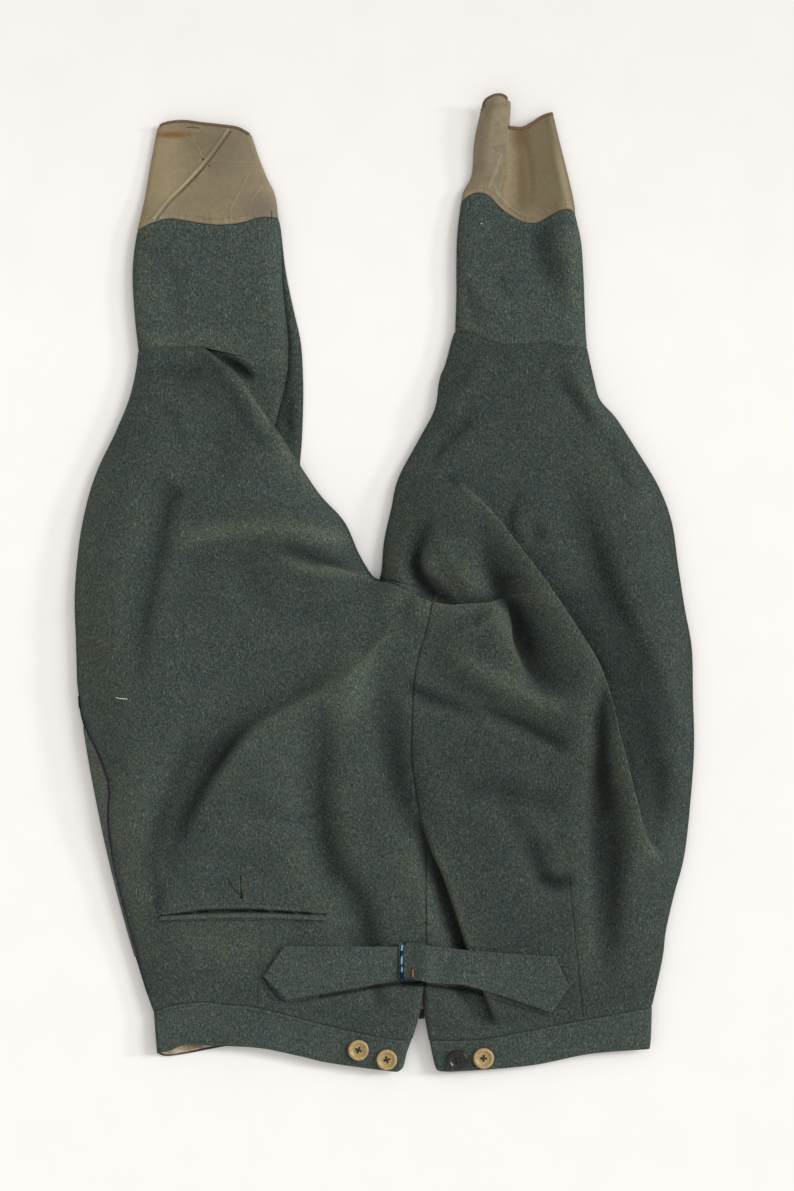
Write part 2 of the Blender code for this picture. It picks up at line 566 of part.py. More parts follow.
def make_seat(collection):
    """Back panels, the turned-up side of the front panel and the cloth folded under at the knee."""
    half = GAP / 2
    thigh_rows, lap_rows, centre_rows, notch_rows = 13, 3, 18, 2
    centre = joined(spread("crotch_lap", lap_rows), spread("centre_back", centre_rows))
    weights = np.array([1.0] * thigh_rows + [0.35] * lap_rows + [1.0] * (centre_rows + notch_rows))

    inner = joined(spread("right_fold_edge", thigh_rows), centre, spread("notch_right", notch_rows))
    shares = fractions_of(inner, weights)
    outer_line = joined(smooth_line(LINES["right_thigh_outer"]), smooth_line(LINES["right_piping"]))
    run = lengths_along(outer_line)
    outer = np.column_stack([np.interp(shares * run[-1], run, outer_line[:, k]) for k in (0, 1)])
    across = closer_at_ends(18, end=1)
    grid = patch(spread("right_knee_outer", across), spread("right_waist_seam", across), outer, inner)
    cloth("back_right", inset(grid, first=half, last=half, left=half), thigh_height, WOOL_WALL, "wool",
          collection)

    beside = outer[(outer[:, 1] < SIDE_TOP) & (outer[:, 1] > SIDE_BOTTOM)]
    line = smooth_line(LINES["right_seat_outer"])
    edge = np.column_stack([np.interp(-beside[:, 1], -line[:, 1], line[:, 0]), beside[:, 1]])
    seam = beside - (GAP, 0)
    side = edge[:, None] + (seam - edge)[:, None] * np.array([0, 0.3, 0.65, 1])[None, :, None]
    cloth("front_right_side", side, thigh_height, WOOL_WALL, "wool", collection)

    inner = joined(spread("left_thigh_inner", thigh_rows), centre, spread("notch_left", notch_rows))
    shares = fractions_of(inner, weights)
    across = closer_at_ends(18, start=1)
    grid = patch(spread("left_knee_seam", across), spread("left_waist_seam", across),
                 inner, spread("left_thigh_outer", shares))
    cloth("back_left", inset(grid, first=half, last=half, right=half), thigh_height, WOOL_WALL, "wool",
          collection)

    tip = np.linspace(LINES["knee_fold_outer"][-1], LINES["knee_fold_inner"][-1], 8)
    fold = patch(spread("right_knee_inner", 7), tip,
                 spread("knee_fold_outer", 8), spread("knee_fold_inner", 8))
    cloth("knee_fold_right", inset(fold, first=half + 0.2), knee_fold_height, WOOL_WALL, "wool", collection)


def make_waistband(collection):
    """Back waistband halves."""
    half = GAP / 2
    down = closer_at_ends(3, start=0)
    across = closer_at_ends(18, end=1)
    grid = patch(spread("right_waist_seam", across), spread("right_waist_edge", across),
                 spread("right_band_side", down), spread("band_notch_right", down))
    cloth("waistband_back_right", inset(grid, first=half), thigh_height, BAND_WALL, "wool", collection)
    across = closer_at_ends(18, start=1)
    grid = patch(spread("left_waist_seam", across), spread("left_waist_edge", across),
                 spread("band_notch_left", down), spread("left_band_side", down))
    cloth("waistband_back_left", inset(grid, first=half), thigh_height, BAND_WALL, "wool", collection)


def outline_of(*sides):
    """A closed outline from lines taken in turn; a minus sign in front of a name runs it backwards."""
    runs = []
    for side in sides:
        name = side.lstrip("-")
        line = smooth_line(LINES[name], 3)
        runs.append(line[::-1][:-1] if side.startswith("-") else line[:-1])
    return np.vstack(runs)


def shrink(outline, amount):
    """Move a closed outline inwards by an amount."""
    ahead = np.roll(outline, -1, axis=0) - np.roll(outline, 1, axis=0)
    normal = np.column_stack([-ahead[:, 1], ahead[:, 0]])
    normal /= np.linalg.norm(normal, axis=1)[:, None]
    area = np.sum(outline[:, 0] * np.roll(outline[:, 1], -1) - outline[:, 1] * np.roll(outline[:, 0], -1))
    return outline + normal * amount * (1 if area > 0 else -1)


def make_lower_layer(collection):
    """The front of the garment and the lower walls of the leg ends, flat on the surface."""
    half = GAP / 2
    pieces = [
        ("front_right", WOOL_WALL, "wool",
         ("right_knee_front", "right_knee_under", "right_fold_lower", "front_centre", "-front_seam_right",
          "-right_seat_outer", "-right_thigh_outer")),
        ("front_left", WOOL_WALL, "wool",
         ("left_knee_front", "left_thigh_outer", "-front_seam_left", "-front_centre", "-left_thigh_inner")),
        ("calf_front_right", WOOL_WALL, "wool",
         ("right_cuff_front", "right_calf_under", "-right_knee_front", "-right_calf_outer")),
        ("calf_front_left", WOOL_WALL, "wool",
         ("left_cuff_front", "left_calf_outer", "-left_knee_front", "-left_calf_inner")),
        ("cuff_front_right", LINEN_WALL, "linen",
         ("right_hem_front", "right_cuff_inner_front", "-right_cuff_front", "-right_cuff_outer_front")),
        ("cuff_front_left", LINEN_WALL, "linen",
         ("left_hem_front", "left_cuff_outer_front", "-left_cuff_front", "-left_cuff_inner_front")),
        ("waistband_front_right", FRONT_BAND_WALL, "wool",
         ("front_seam_right", "front_band_centre", "-front_edge_right", "front_band_end")),
        ("waistband_front_left", FRONT_BAND_WALL, "wool",
         ("front_seam_left", "front_band_left_end", "-front_edge_left", "-front_band_centre")),
    ]
    for name, wall, finish, sides in pieces:
        flat_piece(name, shrink(outline_of(*sides), half), 0, wall, finish, collection)


def make_lining(collection):
    """The pale lining on the front right band, short of the band's edge by the wool turned over it."""
    upper = spread("front_seam_right", 10) - (0, 4)
    lower = spread("front_edge_right", 10) + np.column_stack([np.zeros(11), np.linspace(1.4, 9, 11)])
    outline = np.vstack([upper + (1.5, 0), lower[::-1] + (1.5, 0)])
    outline[:, 0] = np.minimum(outline[:, 0], 33)
    flat_piece("waistband_lining", outline, FRONT_BAND_WALL + GAP, LINING_WALL, "lining", collection)


def strap_grid(top, low, right_end, left_end, along):
    """Plan points of one half of the cinch, between its two long edges and its two ends."""
    sides = []
    across = np.linspace(0, 1, 5)
    for name, shares in ((top, along), (low, along), (right_end, across), (left_end, across)):
        points = np.array(CINCH[name], float)
        run = lengths_along(points)
        sides.append(np.column_stack([np.interp(shares * run[-1], run, points[:, k]) for k in (0, 1)]))
    return patch(*sides)


def make_cinch(collection):
    """The two halves of the cinch, moved out from the seat."""
    grid = strap_grid("right_top", "right_low", "right_tip", "right_meet", np.linspace(0, 1, 12))
    cloth("cinch_strap_right", grid, strap_height, STRAP_WALL, "wool", collection)
    over_the_bar = np.arange(0, 0.27, 0.033)
    along = np.concatenate([over_the_bar, np.linspace(0.32, 1, 9)])
    grid = strap_grid("left_top", "left_low", "left_meet", "left_tip", along)
    cloth("cinch_strap_left", grid, strap_height, STRAP_WALL, "wool", collection)


def make_buckle(collection):
    """The wire frame, with one bar on the strap and one hidden under its arch, and the prong's tip."""
    over = GAP + BUCKLE_WIRE / 2 + 0.3
    under = -STRAP_WALL - over - 0.8
    right, left = BUCKLE_RIGHT + BUCKLE_CORNER, BUCKLE_LEFT - BUCKLE_CORNER
    top, bottom = BUCKLE_TOP - BUCKLE_CORNER, BUCKLE_BOTTOM + BUCKLE_CORNER
    frame = []
    for centre_x, centre_y, turn, lift in ((right, top, 90, over), (right, bottom, 180, over),
                                           (left, bottom, 270, under), (left, top, 360, under)):
        bar_x = BUCKLE_RIGHT if lift == over else BUCKLE_LEFT
        face = float(strap_height(np.array([bar_x]), np.array([centre_y]))[0])
        for step in range(4):
            angle = math.radians(turn + 30 * step)
            frame.append((centre_x + BUCKLE_CORNER * math.cos(angle),
                          centre_y + BUCKLE_CORNER * math.sin(angle), face + lift))
    tube("buckle_frame", frame, BUCKLE_WIRE, "blued_steel", collection, closed=True)
    tip = np.array(PRONG)
    face = strap_height(tip[:, 0], tip[:, 1]) + GAP + PRONG_DIAMETER / 2
    tube("buckle_prong", np.column_stack([tip, face]), PRONG_DIAMETER, "copper_prong", collection, sides=1)


def welt_height(x, y):
    """The welt lies just clear of the seat."""
    return thigh_height(x, y) + GAP + STRAP_LIFT + WELT_WALL


def make_pocket(collection):
    """The welt of the back pocket, moved out from the seat."""
    x = np.linspace(WELT_RIGHT, WELT_LEFT, 13)
    upper = WELT_Y + WELT_BOW * np.sin((x - WELT_RIGHT) / (WELT_LEFT - WELT_RIGHT) * math.pi)
    grid = np.stack([np.column_stack([x, upper]), np.column_stack([x, upper - WELT_WIDTH])])
    cloth("pocket_welt", grid, welt_height, WELT_WALL, "wool", collection)


def make_piping(collection):
    """The piping cord in the right outseam."""
    points = spread("right_piping", np.linspace(0.04, 0.95, 34))
    radius = PIPING_DIAMETER / 2
    beside = [thigh_height(points[:, 0] + shift, points[:, 1]) for shift in (-radius, 0, radius)]
    z = np.max(beside, axis=0) + GAP + radius + 0.2
    tube("outseam_piping", np.column_stack([points, z]), PIPING_DIAMETER, "piping", collection)


def button_mesh(name):
    """A turned button with a raised rim and four holes bored through it."""
    radius = BUTTON_DIAMETER / 2
    thick = BUTTON_THICKNESS
    shape = [(0, BUTTON_FACE), (0.60, BUTTON_FACE)] + BUTTON_RIM + [(0, 0)]
    profile = [(radius * out, thick * up) for out, up in shape]
    made = bmesh.new()
    ring = [made.verts.new((r * MM, 0, z * MM)) for r, z in profile]
    edges = [made.edges.new(pair) for pair in zip(ring[:-1], ring[1:])]
    bmesh.ops.spin(made, geom=ring + edges, cent=(0, 0, 0), axis=(0, 0, 1), angle=2 * math.pi, steps=24,
                   use_merge=True)
    bmesh.ops.remove_doubles(made, verts=made.verts, dist=0.00001)
    bmesh.ops.recalc_face_normals(made, faces=made.faces)
    mesh = bpy.data.meshes.new(name)
    made.to_mesh(mesh)
    made.free()
    return mesh


def make_buttons(collection, cutters):
    """Brace buttons, tilted to lie on the band, each with four holes."""
    for name, x, y, finish in BUTTONS:
        button = add_object(name, button_mesh(name), finish, collection)
        reach = BUTTON_DIAMETER / 2
        ring = [(x + reach * math.cos(a), y + reach * math.sin(a)) for a in np.linspace(0, 2 * math.pi, 13)]
        ring = np.array([(x, y)] + ring)
        z = thigh_height(ring[:, 0], ring[:, 1])
        slope_x = np.polyfit(ring[:, 0] - x, z, 1)[0]
        slope_y = np.polyfit(ring[:, 1] - y, z, 1)[0] * BUTTON_LEAN
        plane = z[0] + slope_x * (ring[:, 0] - x) + slope_y * (ring[:, 1] - y)
        stand = max(0, float(np.max(z - plane))) + BUTTON_STAND
        up = Vector((-slope_x, -slope_y, 1)).normalized()
        tilt = up.to_track_quat("Z", "Y").to_matrix().to_4x4()
        button.matrix_world = Matrix.Translation(Vector((x, y, z[0] + stand)) * MM) @ tilt
        cutter_mesh = bpy.data.meshes.new(name + "_holes")
        drill = bmesh.new()
        for turn in range(4):
            angle = math.radians(45 + 90 * turn)
            place = Vector((math.cos(angle), math.sin(angle), 0)) * BUTTON_HOLE_PITCH / 2 * MM
            place.z = BUTTON_THICKNESS / 2 * MM
            bmesh.ops.create_cone(drill, cap_ends=True, segments=8, radius1=BUTTON_HOLE_DIAMETER / 2 * MM,
                                  radius2=BUTTON_HOLE_DIAMETER / 2 * MM, depth=3 * BUTTON_THICKNESS * MM,
                                  matrix=Matrix.Translation(place))
        drill.to_mesh(cutter_mesh)
        drill.free()
        cutter = bpy.data.objects.new(name + "_holes", cutter_mesh)
        cutters.objects.link(cutter)
        cutter.matrix_world = button.matrix_world
        cutter.hide_render = True
        cutter.display_type = "WIRE"
        bore = button.modifiers.new("holes", "BOOLEAN")
        bore.operation = "DIFFERENCE"
        bore.object = cutter
        button.data.shade_smooth()
        button.data.set_sharp_from_angle(angle=math.radians(40))


def main():
    for thing in list(bpy.data.objects):
        bpy.data.objects.remove(thing)
    breeches = bpy.data.collections.new("wool_breeches")
    cutters = bpy.data.collections.new("cutters")
    for collection in (breeches, cutters):
        bpy.context.scene.collection.children.link(collection)
    make_lower_layer(breeches)
    make_lining(breeches)
    make_legs(breeches)
    make_seat(breeches)
    make_waistband(breeches)
    make_cinch(breeches)
    make_buckle(breeches)
    make_pocket(breeches)
    make_piping(breeches)
    make_buttons(breeches, cutters)


main()
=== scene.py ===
"""Wool service breeches with linen leg ends, laid flat with the back up: cloth, sewing, metal and light.

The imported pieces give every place. Tables are in millimetres in their frame, where +X is the wearer's
left, +Y runs towards the leg ends and +Z is up from the surface. MM turns them into metres. Left and
right in the names are the wearer's.

The upper layer is one height field, as in the solids: a turned edge, the loft of the tube and a table of
folds, with a table of smaller creases on top. Folds that hang over lean towards their steep side.
"""

import math
from collections import namedtuple
from functools import partial

import bmesh
import bpy
import numpy as np
from mathutils import Matrix, Vector


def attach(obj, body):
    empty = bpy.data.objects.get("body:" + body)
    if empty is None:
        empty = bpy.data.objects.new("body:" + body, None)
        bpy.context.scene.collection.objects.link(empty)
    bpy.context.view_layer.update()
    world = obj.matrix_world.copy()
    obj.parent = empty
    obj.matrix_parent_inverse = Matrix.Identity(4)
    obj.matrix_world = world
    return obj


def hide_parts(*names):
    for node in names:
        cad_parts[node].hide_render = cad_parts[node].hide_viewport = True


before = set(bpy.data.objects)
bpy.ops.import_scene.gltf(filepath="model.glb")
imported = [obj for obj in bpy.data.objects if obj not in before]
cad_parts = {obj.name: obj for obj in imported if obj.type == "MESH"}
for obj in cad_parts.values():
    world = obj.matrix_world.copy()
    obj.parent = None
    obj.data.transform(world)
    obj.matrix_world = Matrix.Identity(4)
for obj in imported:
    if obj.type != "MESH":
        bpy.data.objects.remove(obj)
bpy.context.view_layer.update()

MM = 0.001
# Added to a length that divides, so that it is never nought
TINY = 1e-9

# Points to each span of a smooth line: where heights are read, where only the size of the cells hangs on
# it, and for the level table
HEIGHT_SPAN = 4
CELL_SPAN = 2
LEVEL_SPAN = 10

# Walls of the cloth, and the gap between one piece and the next
WOOL_WALL = 2.0
LINEN_WALL = 1.0
BAND_WALL = 3.0
LINING_WALL = 0.8
STRAP_WALL = 2.4
WELT_WALL = 0.8
GAP = 0.3

# Mesh spacing of the cloth. Near seams it is halved twice, and near the folds that hang over, once
SEAT_CELL = 2.5
CALF_CELL = 1.6
LINEN_CELL = 1.2
BAND_CELL = 1.5
STRAP_CELL = 1.2
FRONT_CELL = 4.0
STRIP_CELL = 1.6
SEAM_REACH = (6.0, 3.0)
FOLD_REACH = 12.0
SEAT_WIDTH = 262
NARROW_ROWS = 9
# The lap at the crotch counts for less when the rows are shared out along the outer side
LAP_WEIGHT = 0.35

# Knee seams are pressed open, so that their gap nearly closes
KNEE_GAP = 0.05
# The lower layer is drawn in further than the upper one, so that it stays out of sight
LOWER_INSET = 0.3

# How the upper layer turns down and rises at a free edge
ROLL_HEIGHT = 2.5
ROLL_RUN = 4.0
PUFF_RUN = 18.0
LOFT_RUN = 52.0
FOLD_FADE = 14.0
KNEE_FOLD_PUFF = 5.0
KNEE_FOLD_ROLL = 0.8
KNEE_FOLD_RUN = 34.0
# Where the cloth folded under at the knee comes up to its seam, by distance from the fold and the seam
KNEE_JOIN = (3.0, 11.0)
KNEE_JOIN_RUN = 12.0
CREASE_FADE = 6.0
SEAM_SINK = 0.6
EASE_POWER = 2.2
# Beyond this many times its own reach a fold or a groove is nothing
TAIL = 3
# How far the cut edge of the cloth bulges out between its two faces
EDGE_TURN = 0.6
FIRM_TURN = 0.5
MILD_TURN = 0.4
THIN_TURN = 0.3
SLIGHT_TURN = 0.2
LEAST_TURN = 0.1
# Points marked above this belong to the outer face
ON_FACE = 0.99
# Cells over which the inside of the cloth changes from straight down at its sides to square to the face
SIDE_CELLS = 4
# The lower layer's own turned edge, where it shows beside the upper leg
STRIP_RISE = 2.2
STRIP_RUN = 7.0
STRIP_END = 95
# Painted light on crests and painted shade in hollows, with some wear, from the curve of the face, read at
# two sizes: how many cells round a point are looked at, and how far it then stands above them to be painted
# fully pale
WEAR_AND_LIGHT_RUNS = [(3, 1.3), (9, 3.4)]
WEAR_AND_LIGHT_SHARE = 0.6
# Range of the attribute, from the deepest painted shade to the palest painted light and wear
WEAR_AND_LIGHT_LOW = -2.0
WEAR_AND_LIGHT_HIGH = 1.5
# The most painted shade that a seam's groove is given, on the same scale
GROOVE_SHADE = 1.6

# The cinch rides over the seat, and arches over the hidden bar of its buckle
STRAP_LIFT = 0.5
STRAP_ARCH = 4.6
STRAP_ARCH_RUN = 10.0
BUCKLE_WIRE = 3.0
BUCKLE_CLEAR = 0.2
BUCKLE_SUNK = 0.8
BUCKLE_DIP = 3.0
BUCKLE_TUCK = 5.0
BUCKLE_LEFT = 36.0
BUCKLE_RIGHT = 14.6
BUCKLE_TOP = -304.0
BUCKLE_BOTTOM = -337.4
BUCKLE_CORNER = 3.2
# Painted shade on the lower bar: the painted highlight fades out towards it, from this far above it and over
# this distance
BUCKLE_HIGHLIGHT_FADE = (1, 6)
PRONG_DIAMETER = 1.6
PRONG = [(24, -325.5), (24, -328.5), (24, -332)]

# The piping is half hidden between the panels, and sinks out of sight lower down
PIPING_SHOWN = 1.7
PIPING_POINTS = 260
PIPING_WANDER = 0.25
PIPING_SINK = [(-400, -0.75), (-236, -0.6), (-215, -0.05), (0, 0.1)]

# How far the curled tab runs on over the sunk wall beside it, and how far clear of it
TAB_LAP = 0.9
TAB_LIFT = 0.35
TAB_LIFT_RUN = 3

# The lining stops short of the wool turned over the band's edge, and is wrinkled at its outer corner
LINING_TOP = 4
LINING_LOW = (1.4, 9)
LINING_SIDE = 1.5
LINING_END = 33
LINING_WRINKLE = 0.35
LINING_CORNER = -180
LINING_CORNER_RUN = 30

# The bindings of the leg ends are slightly crowned and uneven, and stand clear of the edge under them
BINDING_WALL = 0.9
BINDING_CLEAR = 0.55
BINDING_CROWN = 0.35
BINDING_WOBBLE = 0.12
STITCH_SINK = 0.45

# The welt of the back pocket
WELT_RIGHT = -190
WELT_LEFT = -49
WELT_Y = -281
WELT_BOW = 2.5
WELT_WIDTH = 3.4
WELT_COLUMNS = 118
WELT_ROWS = 6

# Where the side of the right front panel turns up far enough to show beside the piping
SIDE_TOP = -122
SIDE_BOTTOM = -318

# Brace buttons: place, finish and turn of the holes
BUTTONS = [
    ("brace_button_1", -22, -395, "horn_tan", 20),
    ("brace_button_2", 2, -403.2, "horn_tan", 65),
    ("brace_button_3", 62, -403.8, "horn_black", 10),
    ("brace_button_4", 84, -402, "horn_tan", 40),
]
BUTTON_DIAMETER = 17.4
BUTTON_THICKNESS = 2.8
BUTTON_HOLE_DIAMETER = 1.9
BUTTON_HOLE_PITCH = 4.2
BUTTON_STAND = 0.5
BUTTON_LEAN = 0.5
BUTTON_SHARP_ANGLE = 42
# Dirt in the dish and along the ledge round it, by shares of the button's radius
DISH_EDGE = 0.66
DISH_FADE = 0.1
DISH_DIRT = 0.21
LEDGE = 0.64
LEDGE_RUN = 0.07
LEDGE_DIRT = 0.45
# The button's thread: how far its turns lie apart and stand clear, arch, cross over and sink in the holes
THREAD_RADIUS = 0.36
THREAD_APART = 0.32
THREAD_CLEAR = 0.25
THREAD_ARCH = 0.55
THREAD_OVER = 0.12
THREAD_SINK = 0.9
# A cord's ends are drawn in to this share of its radius
CORD_END = 0.55

# Height of the upper face along the garment: its level at a free edge, the puff of a narrow tube and
# the loft of the ballooned thigh and seat
Level = namedtuple("Level", "y edge puff loft")
LEVELS = [
    Level(420, 2.3, 0.6, 0.0),
    Level(385, 2.3, 1.0, 0.0),
    Level(345, 2.4, 2.0, 0.0),
    Level(305, 4.3, 3.6, 0.0),
    Level(250, 4.3, 4.6, 0.0),
    Level(200, 4.3, 5.0, 0.0),
    Level(150, 4.3, 4.6, 5.5),
    Level(100, 4.3, 2.0, 12.0),
    Level(50, 4.3, 0.4, 16.5),
    Level(0, 4.3, 0.0, 18.5),
    Level(-100, 4.3, 0.0, 19.5),
    Level(-200, 4.3, 0.0, 18.0),
    Level(-300, 4.4, 0.0, 12.0),
    Level(-345, 5.4, 0.0, 6.5),
    Level(-385, 6.5, 0.0, 2.0),
    Level(-425, 6.5, 0.0, 0.0),
]

# Plan lines of the edges and seams, from the leg end to the waist or from the wearer's right to left
LINES = {
    "right_hem": [(-193, 387), (-187, 391), (-172, 393), (-154, 391), (-136, 389), (-124, 387), (-113, 381)],
    "right_cuff_outer": [(-193, 387), (-199, 356), (-204, 326), (-210, 299)],
    "right_cuff_inner": [(-113, 381), (-107, 363), (-100, 345), (-93, 330), (-90, 310)],
    "right_cuff_seam": [(-210, 299), (-198, 305), (-183, 309), (-168, 307), (-148, 304), (-133, 304),
        (-119, 306), (-106, 310), (-90, 310)],
    "right_calf_outer": [(-210, 299), (-213, 279), (-214, 257), (-212, 225), (-209, 198)],
    "right_calf_inner": [(-90, 310), (-88, 290), (-87, 257), (-85, 236), (-82, 208), (-82, 185)],
    "right_calf_under": [(-90, 310), (-88, 300), (-84, 266), (-78, 236), (-72, 210), (-70, 194)],
    "right_knee_outer": [(-209, 198), (-174, 200), (-152, 200)],
    "right_knee_inner": [(-152, 200), (-145, 198), (-109, 190), (-82, 185)],
    "right_thigh_outer": [(-209, 198), (-211, 181), (-217, 156), (-229, 127), (-243, 98), (-252, 71),
        (-259, 36), (-263, -9), (-262, -48), (-261, -84)],
    "right_seat_outer": [(-261, -84), (-257, -115), (-249, -163), (-236, -227), (-221, -286), (-206, -337),
        (-196, -366)],
    "right_piping": [(-261, -84), (-258, -108), (-253, -123), (-241, -147), (-233, -172), (-234, -202),
        (-229, -240), (-220, -277), (-213, -302), (-206, -330), (-196, -363)],
    "right_fold_edge": [(-152, 200), (-139, 188), (-124, 176), (-107, 151), (-88, 125), (-72, 100),
        (-55, 75), (-39, 58), (-31, 46), (-22, 25), (-11, 7), (-4, 3)],
    "right_knee_under": [(-70, 194), (-69, 164), (-70, 126), (-72, 100)],
    "knee_fold_outer": [(-151, 199.4), (-145, 183), (-131, 170), (-114, 145), (-104, 127)],
    "knee_fold_inner": [(-82, 185), (-85, 167), (-89, 151), (-94, 133), (-98, 123)],
    "crotch_lap": [(-4, 3), (8, 1.5), (25, -3), (41, -9)],
    "centre_back": [(41, -9), (38, -20), (34, -43), (28, -67), (25, -88), (23, -130), (23, -151),
        (28, -186), (33, -229), (35, -286), (34, -337)],
    "notch_right": [(34, -337), (30, -361), (28, -370), (23, -387)],
    "notch_left": [(34, -337), (34.4, -361), (35, -370), (38, -387)],
    "band_notch_right": [(23, -387), (19, -398), (16, -410), (12, -414)],
    "band_notch_left": [(38, -387), (40, -397), (43, -410), (46, -414)],
    "right_waist_seam": [(-196, -363), (-179, -357), (-165, -355), (-151, -354), (-136, -356),
        (-121, -357), (-108, -359), (-72, -368), (-46, -375), (0, -385), (23, -387)],
    "right_waist_edge": [(-193, -399), (-181, -396), (-172, -392), (-162, -391), (-146, -392),
        (-107, -394), (-72, -401), (-46, -407), (5, -414), (12, -414)],
    "right_band_side": [(-196, -363), (-194, -386), (-193, -399)],
    "left_waist_seam": [(38, -387), (68, -387), (90, -385), (141, -375), (183, -367), (227, -359)],
    "left_waist_edge": [(46, -414), (64, -414), (124, -409), (175, -399), (225, -395)],
    "left_band_side": [(227, -359), (226, -385), (225, -395)],
    "front_edge_right": [(-193, -400), (-185, -402), (-169, -400), (-153, -397), (-137, -394), (-60, -380),
        (34, -370)],
    "front_edge_left": [(34, -370), (120, -378), (224, -394)],
    "front_seam_right": [(-196, -366), (-140, -360), (-60, -345), (34, -336)],
    "front_seam_left": [(34, -336), (120, -342), (226, -361)],
    "left_tab_hem": [(83, 404), (84, 408), (87, 411), (95, 414), (102, 413), (106, 408)],
    "left_tab_end": [(106, 408), (106, 402), (105, 387)],
    "left_tab_side": [(105, 387), (104, 366), (103, 342), (100, 316)],
    "left_cuff_hem": [(105, 387), (117, 387), (125, 391), (134, 397), (143, 400)],
    "left_cuff_inner": [(83, 404), (79, 389), (76, 372), (74, 347), (67, 333), (65, 324)],
    "left_cuff_outer": [(143, 400), (149, 375), (156, 347), (161, 324), (162, 313)],
    "left_cuff_seam_tab": [(65, 324), (72, 329), (79, 331), (87, 329), (94, 322), (100, 316)],
    "left_cuff_seam_back": [(100, 316), (106, 312), (115, 307), (122, 305.5), (130, 306), (141, 312),
        (149, 316), (157, 317), (162, 313)],
    "left_calf_inner": [(65, 324), (62, 300), (61, 279), (61, 247), (60, 214)],
    "left_calf_outer": [(162, 313), (167, 290), (169, 262), (170, 236), (171, 212), (172, 200)],
    "left_knee_seam": [(60, 214), (76, 212), (89, 206), (107, 202), (135, 204), (152, 201), (172, 200)],
    "left_thigh_inner": [(60, 214), (57, 205), (52, 186), (47, 173), (43, 148), (30, 123), (12, 89),
        (6, 63), (0, 36), (-2, 12), (-4, 3)],
    "left_thigh_outer": [(172, 200), (178, 173), (183, 156), (197, 140), (215, 112), (233, 82), (244, 52),
        (249, 18), (255, -21), (261, -55), (262, -96), (263, -135), (261, -172), (255, -229), (246, -264),
        (239, -295), (236, -319), (227, -359)],
    "front_centre": [(-4, 3), (30, -120), (34, -336)],
    "front_band_end": [(-196, -366), (-193, -400)],
    "front_band_centre": [(34, -336), (34, -370)],
    "front_band_left_end": [(226, -361), (224, -394)],
    "right_knee_front": [(-209, 198), (-140, 196), (-70, 194)],
    "left_knee_front": [(60, 214), (115, 207), (172, 200)],
    "right_cuff_front": [(-210, 299), (-150, 305), (-90, 310)],
    "left_cuff_front": [(65, 324), (115, 318), (162, 313)],
    "right_hem_front": [(-192, 383), (-172, 388), (-150, 387), (-128, 384), (-115, 379)],
    "left_hem_front": [(81, 392), (95, 384), (117, 384), (134, 391), (144, 396)],
    "right_cuff_outer_front": [(-192, 383), (-199, 356), (-204, 326), (-210, 299)],
    "right_cuff_inner_front": [(-115, 379), (-107, 363), (-100, 345), (-93, 330), (-90, 310)],
    "left_cuff_inner_front": [(81, 392), (76, 372), (74, 347), (67, 333), (65, 324)],
    "left_cuff_outer_front": [(144, 396), (149, 375), (156, 347), (161, 324), (162, 313)],
}
# The diagonal fold from where the lower layer's knee side meets it, down to the crotch
LINES["right_fold_lower"] = LINES["right_fold_edge"][5:]

# The cinch: the straight edges and the shaped outer end of each half
STRAP_MEET_RIGHT = 11
STRAP_MEET_LEFT = 12
CINCH = {
    "right_top": [(-85, -306), (-50, -306.5), (-20, -306.5), (STRAP_MEET_RIGHT, -306.5)],
    "right_low": [(-83, -352), (-55, -347), (-15, -340), (STRAP_MEET_RIGHT, -335)],
    "right_tip": [(-85, -306), (-102, -332), (-83, -352)],
    "right_meet": [(STRAP_MEET_RIGHT, -306.5), (STRAP_MEET_RIGHT, -321), (STRAP_MEET_RIGHT, -335)],
    "left_meet": [(STRAP_MEET_LEFT, -303), (STRAP_MEET_LEFT, -321), (STRAP_MEET_LEFT, -333.8)],
    "left_top": [(STRAP_MEET_LEFT, -303), (30, -303.5), (44, -306.5), (64, -309), (105, -312.5),
        (144, -315)],
    "left_low": [(STRAP_MEET_LEFT, -333.8), (31, -335), (37, -336.6), (47, -337.6), (67, -339), (92, -346),
        (116, -354), (141, -363)],
    "left_tip": [(144, -315), (156, -341), (141, -363)],
}

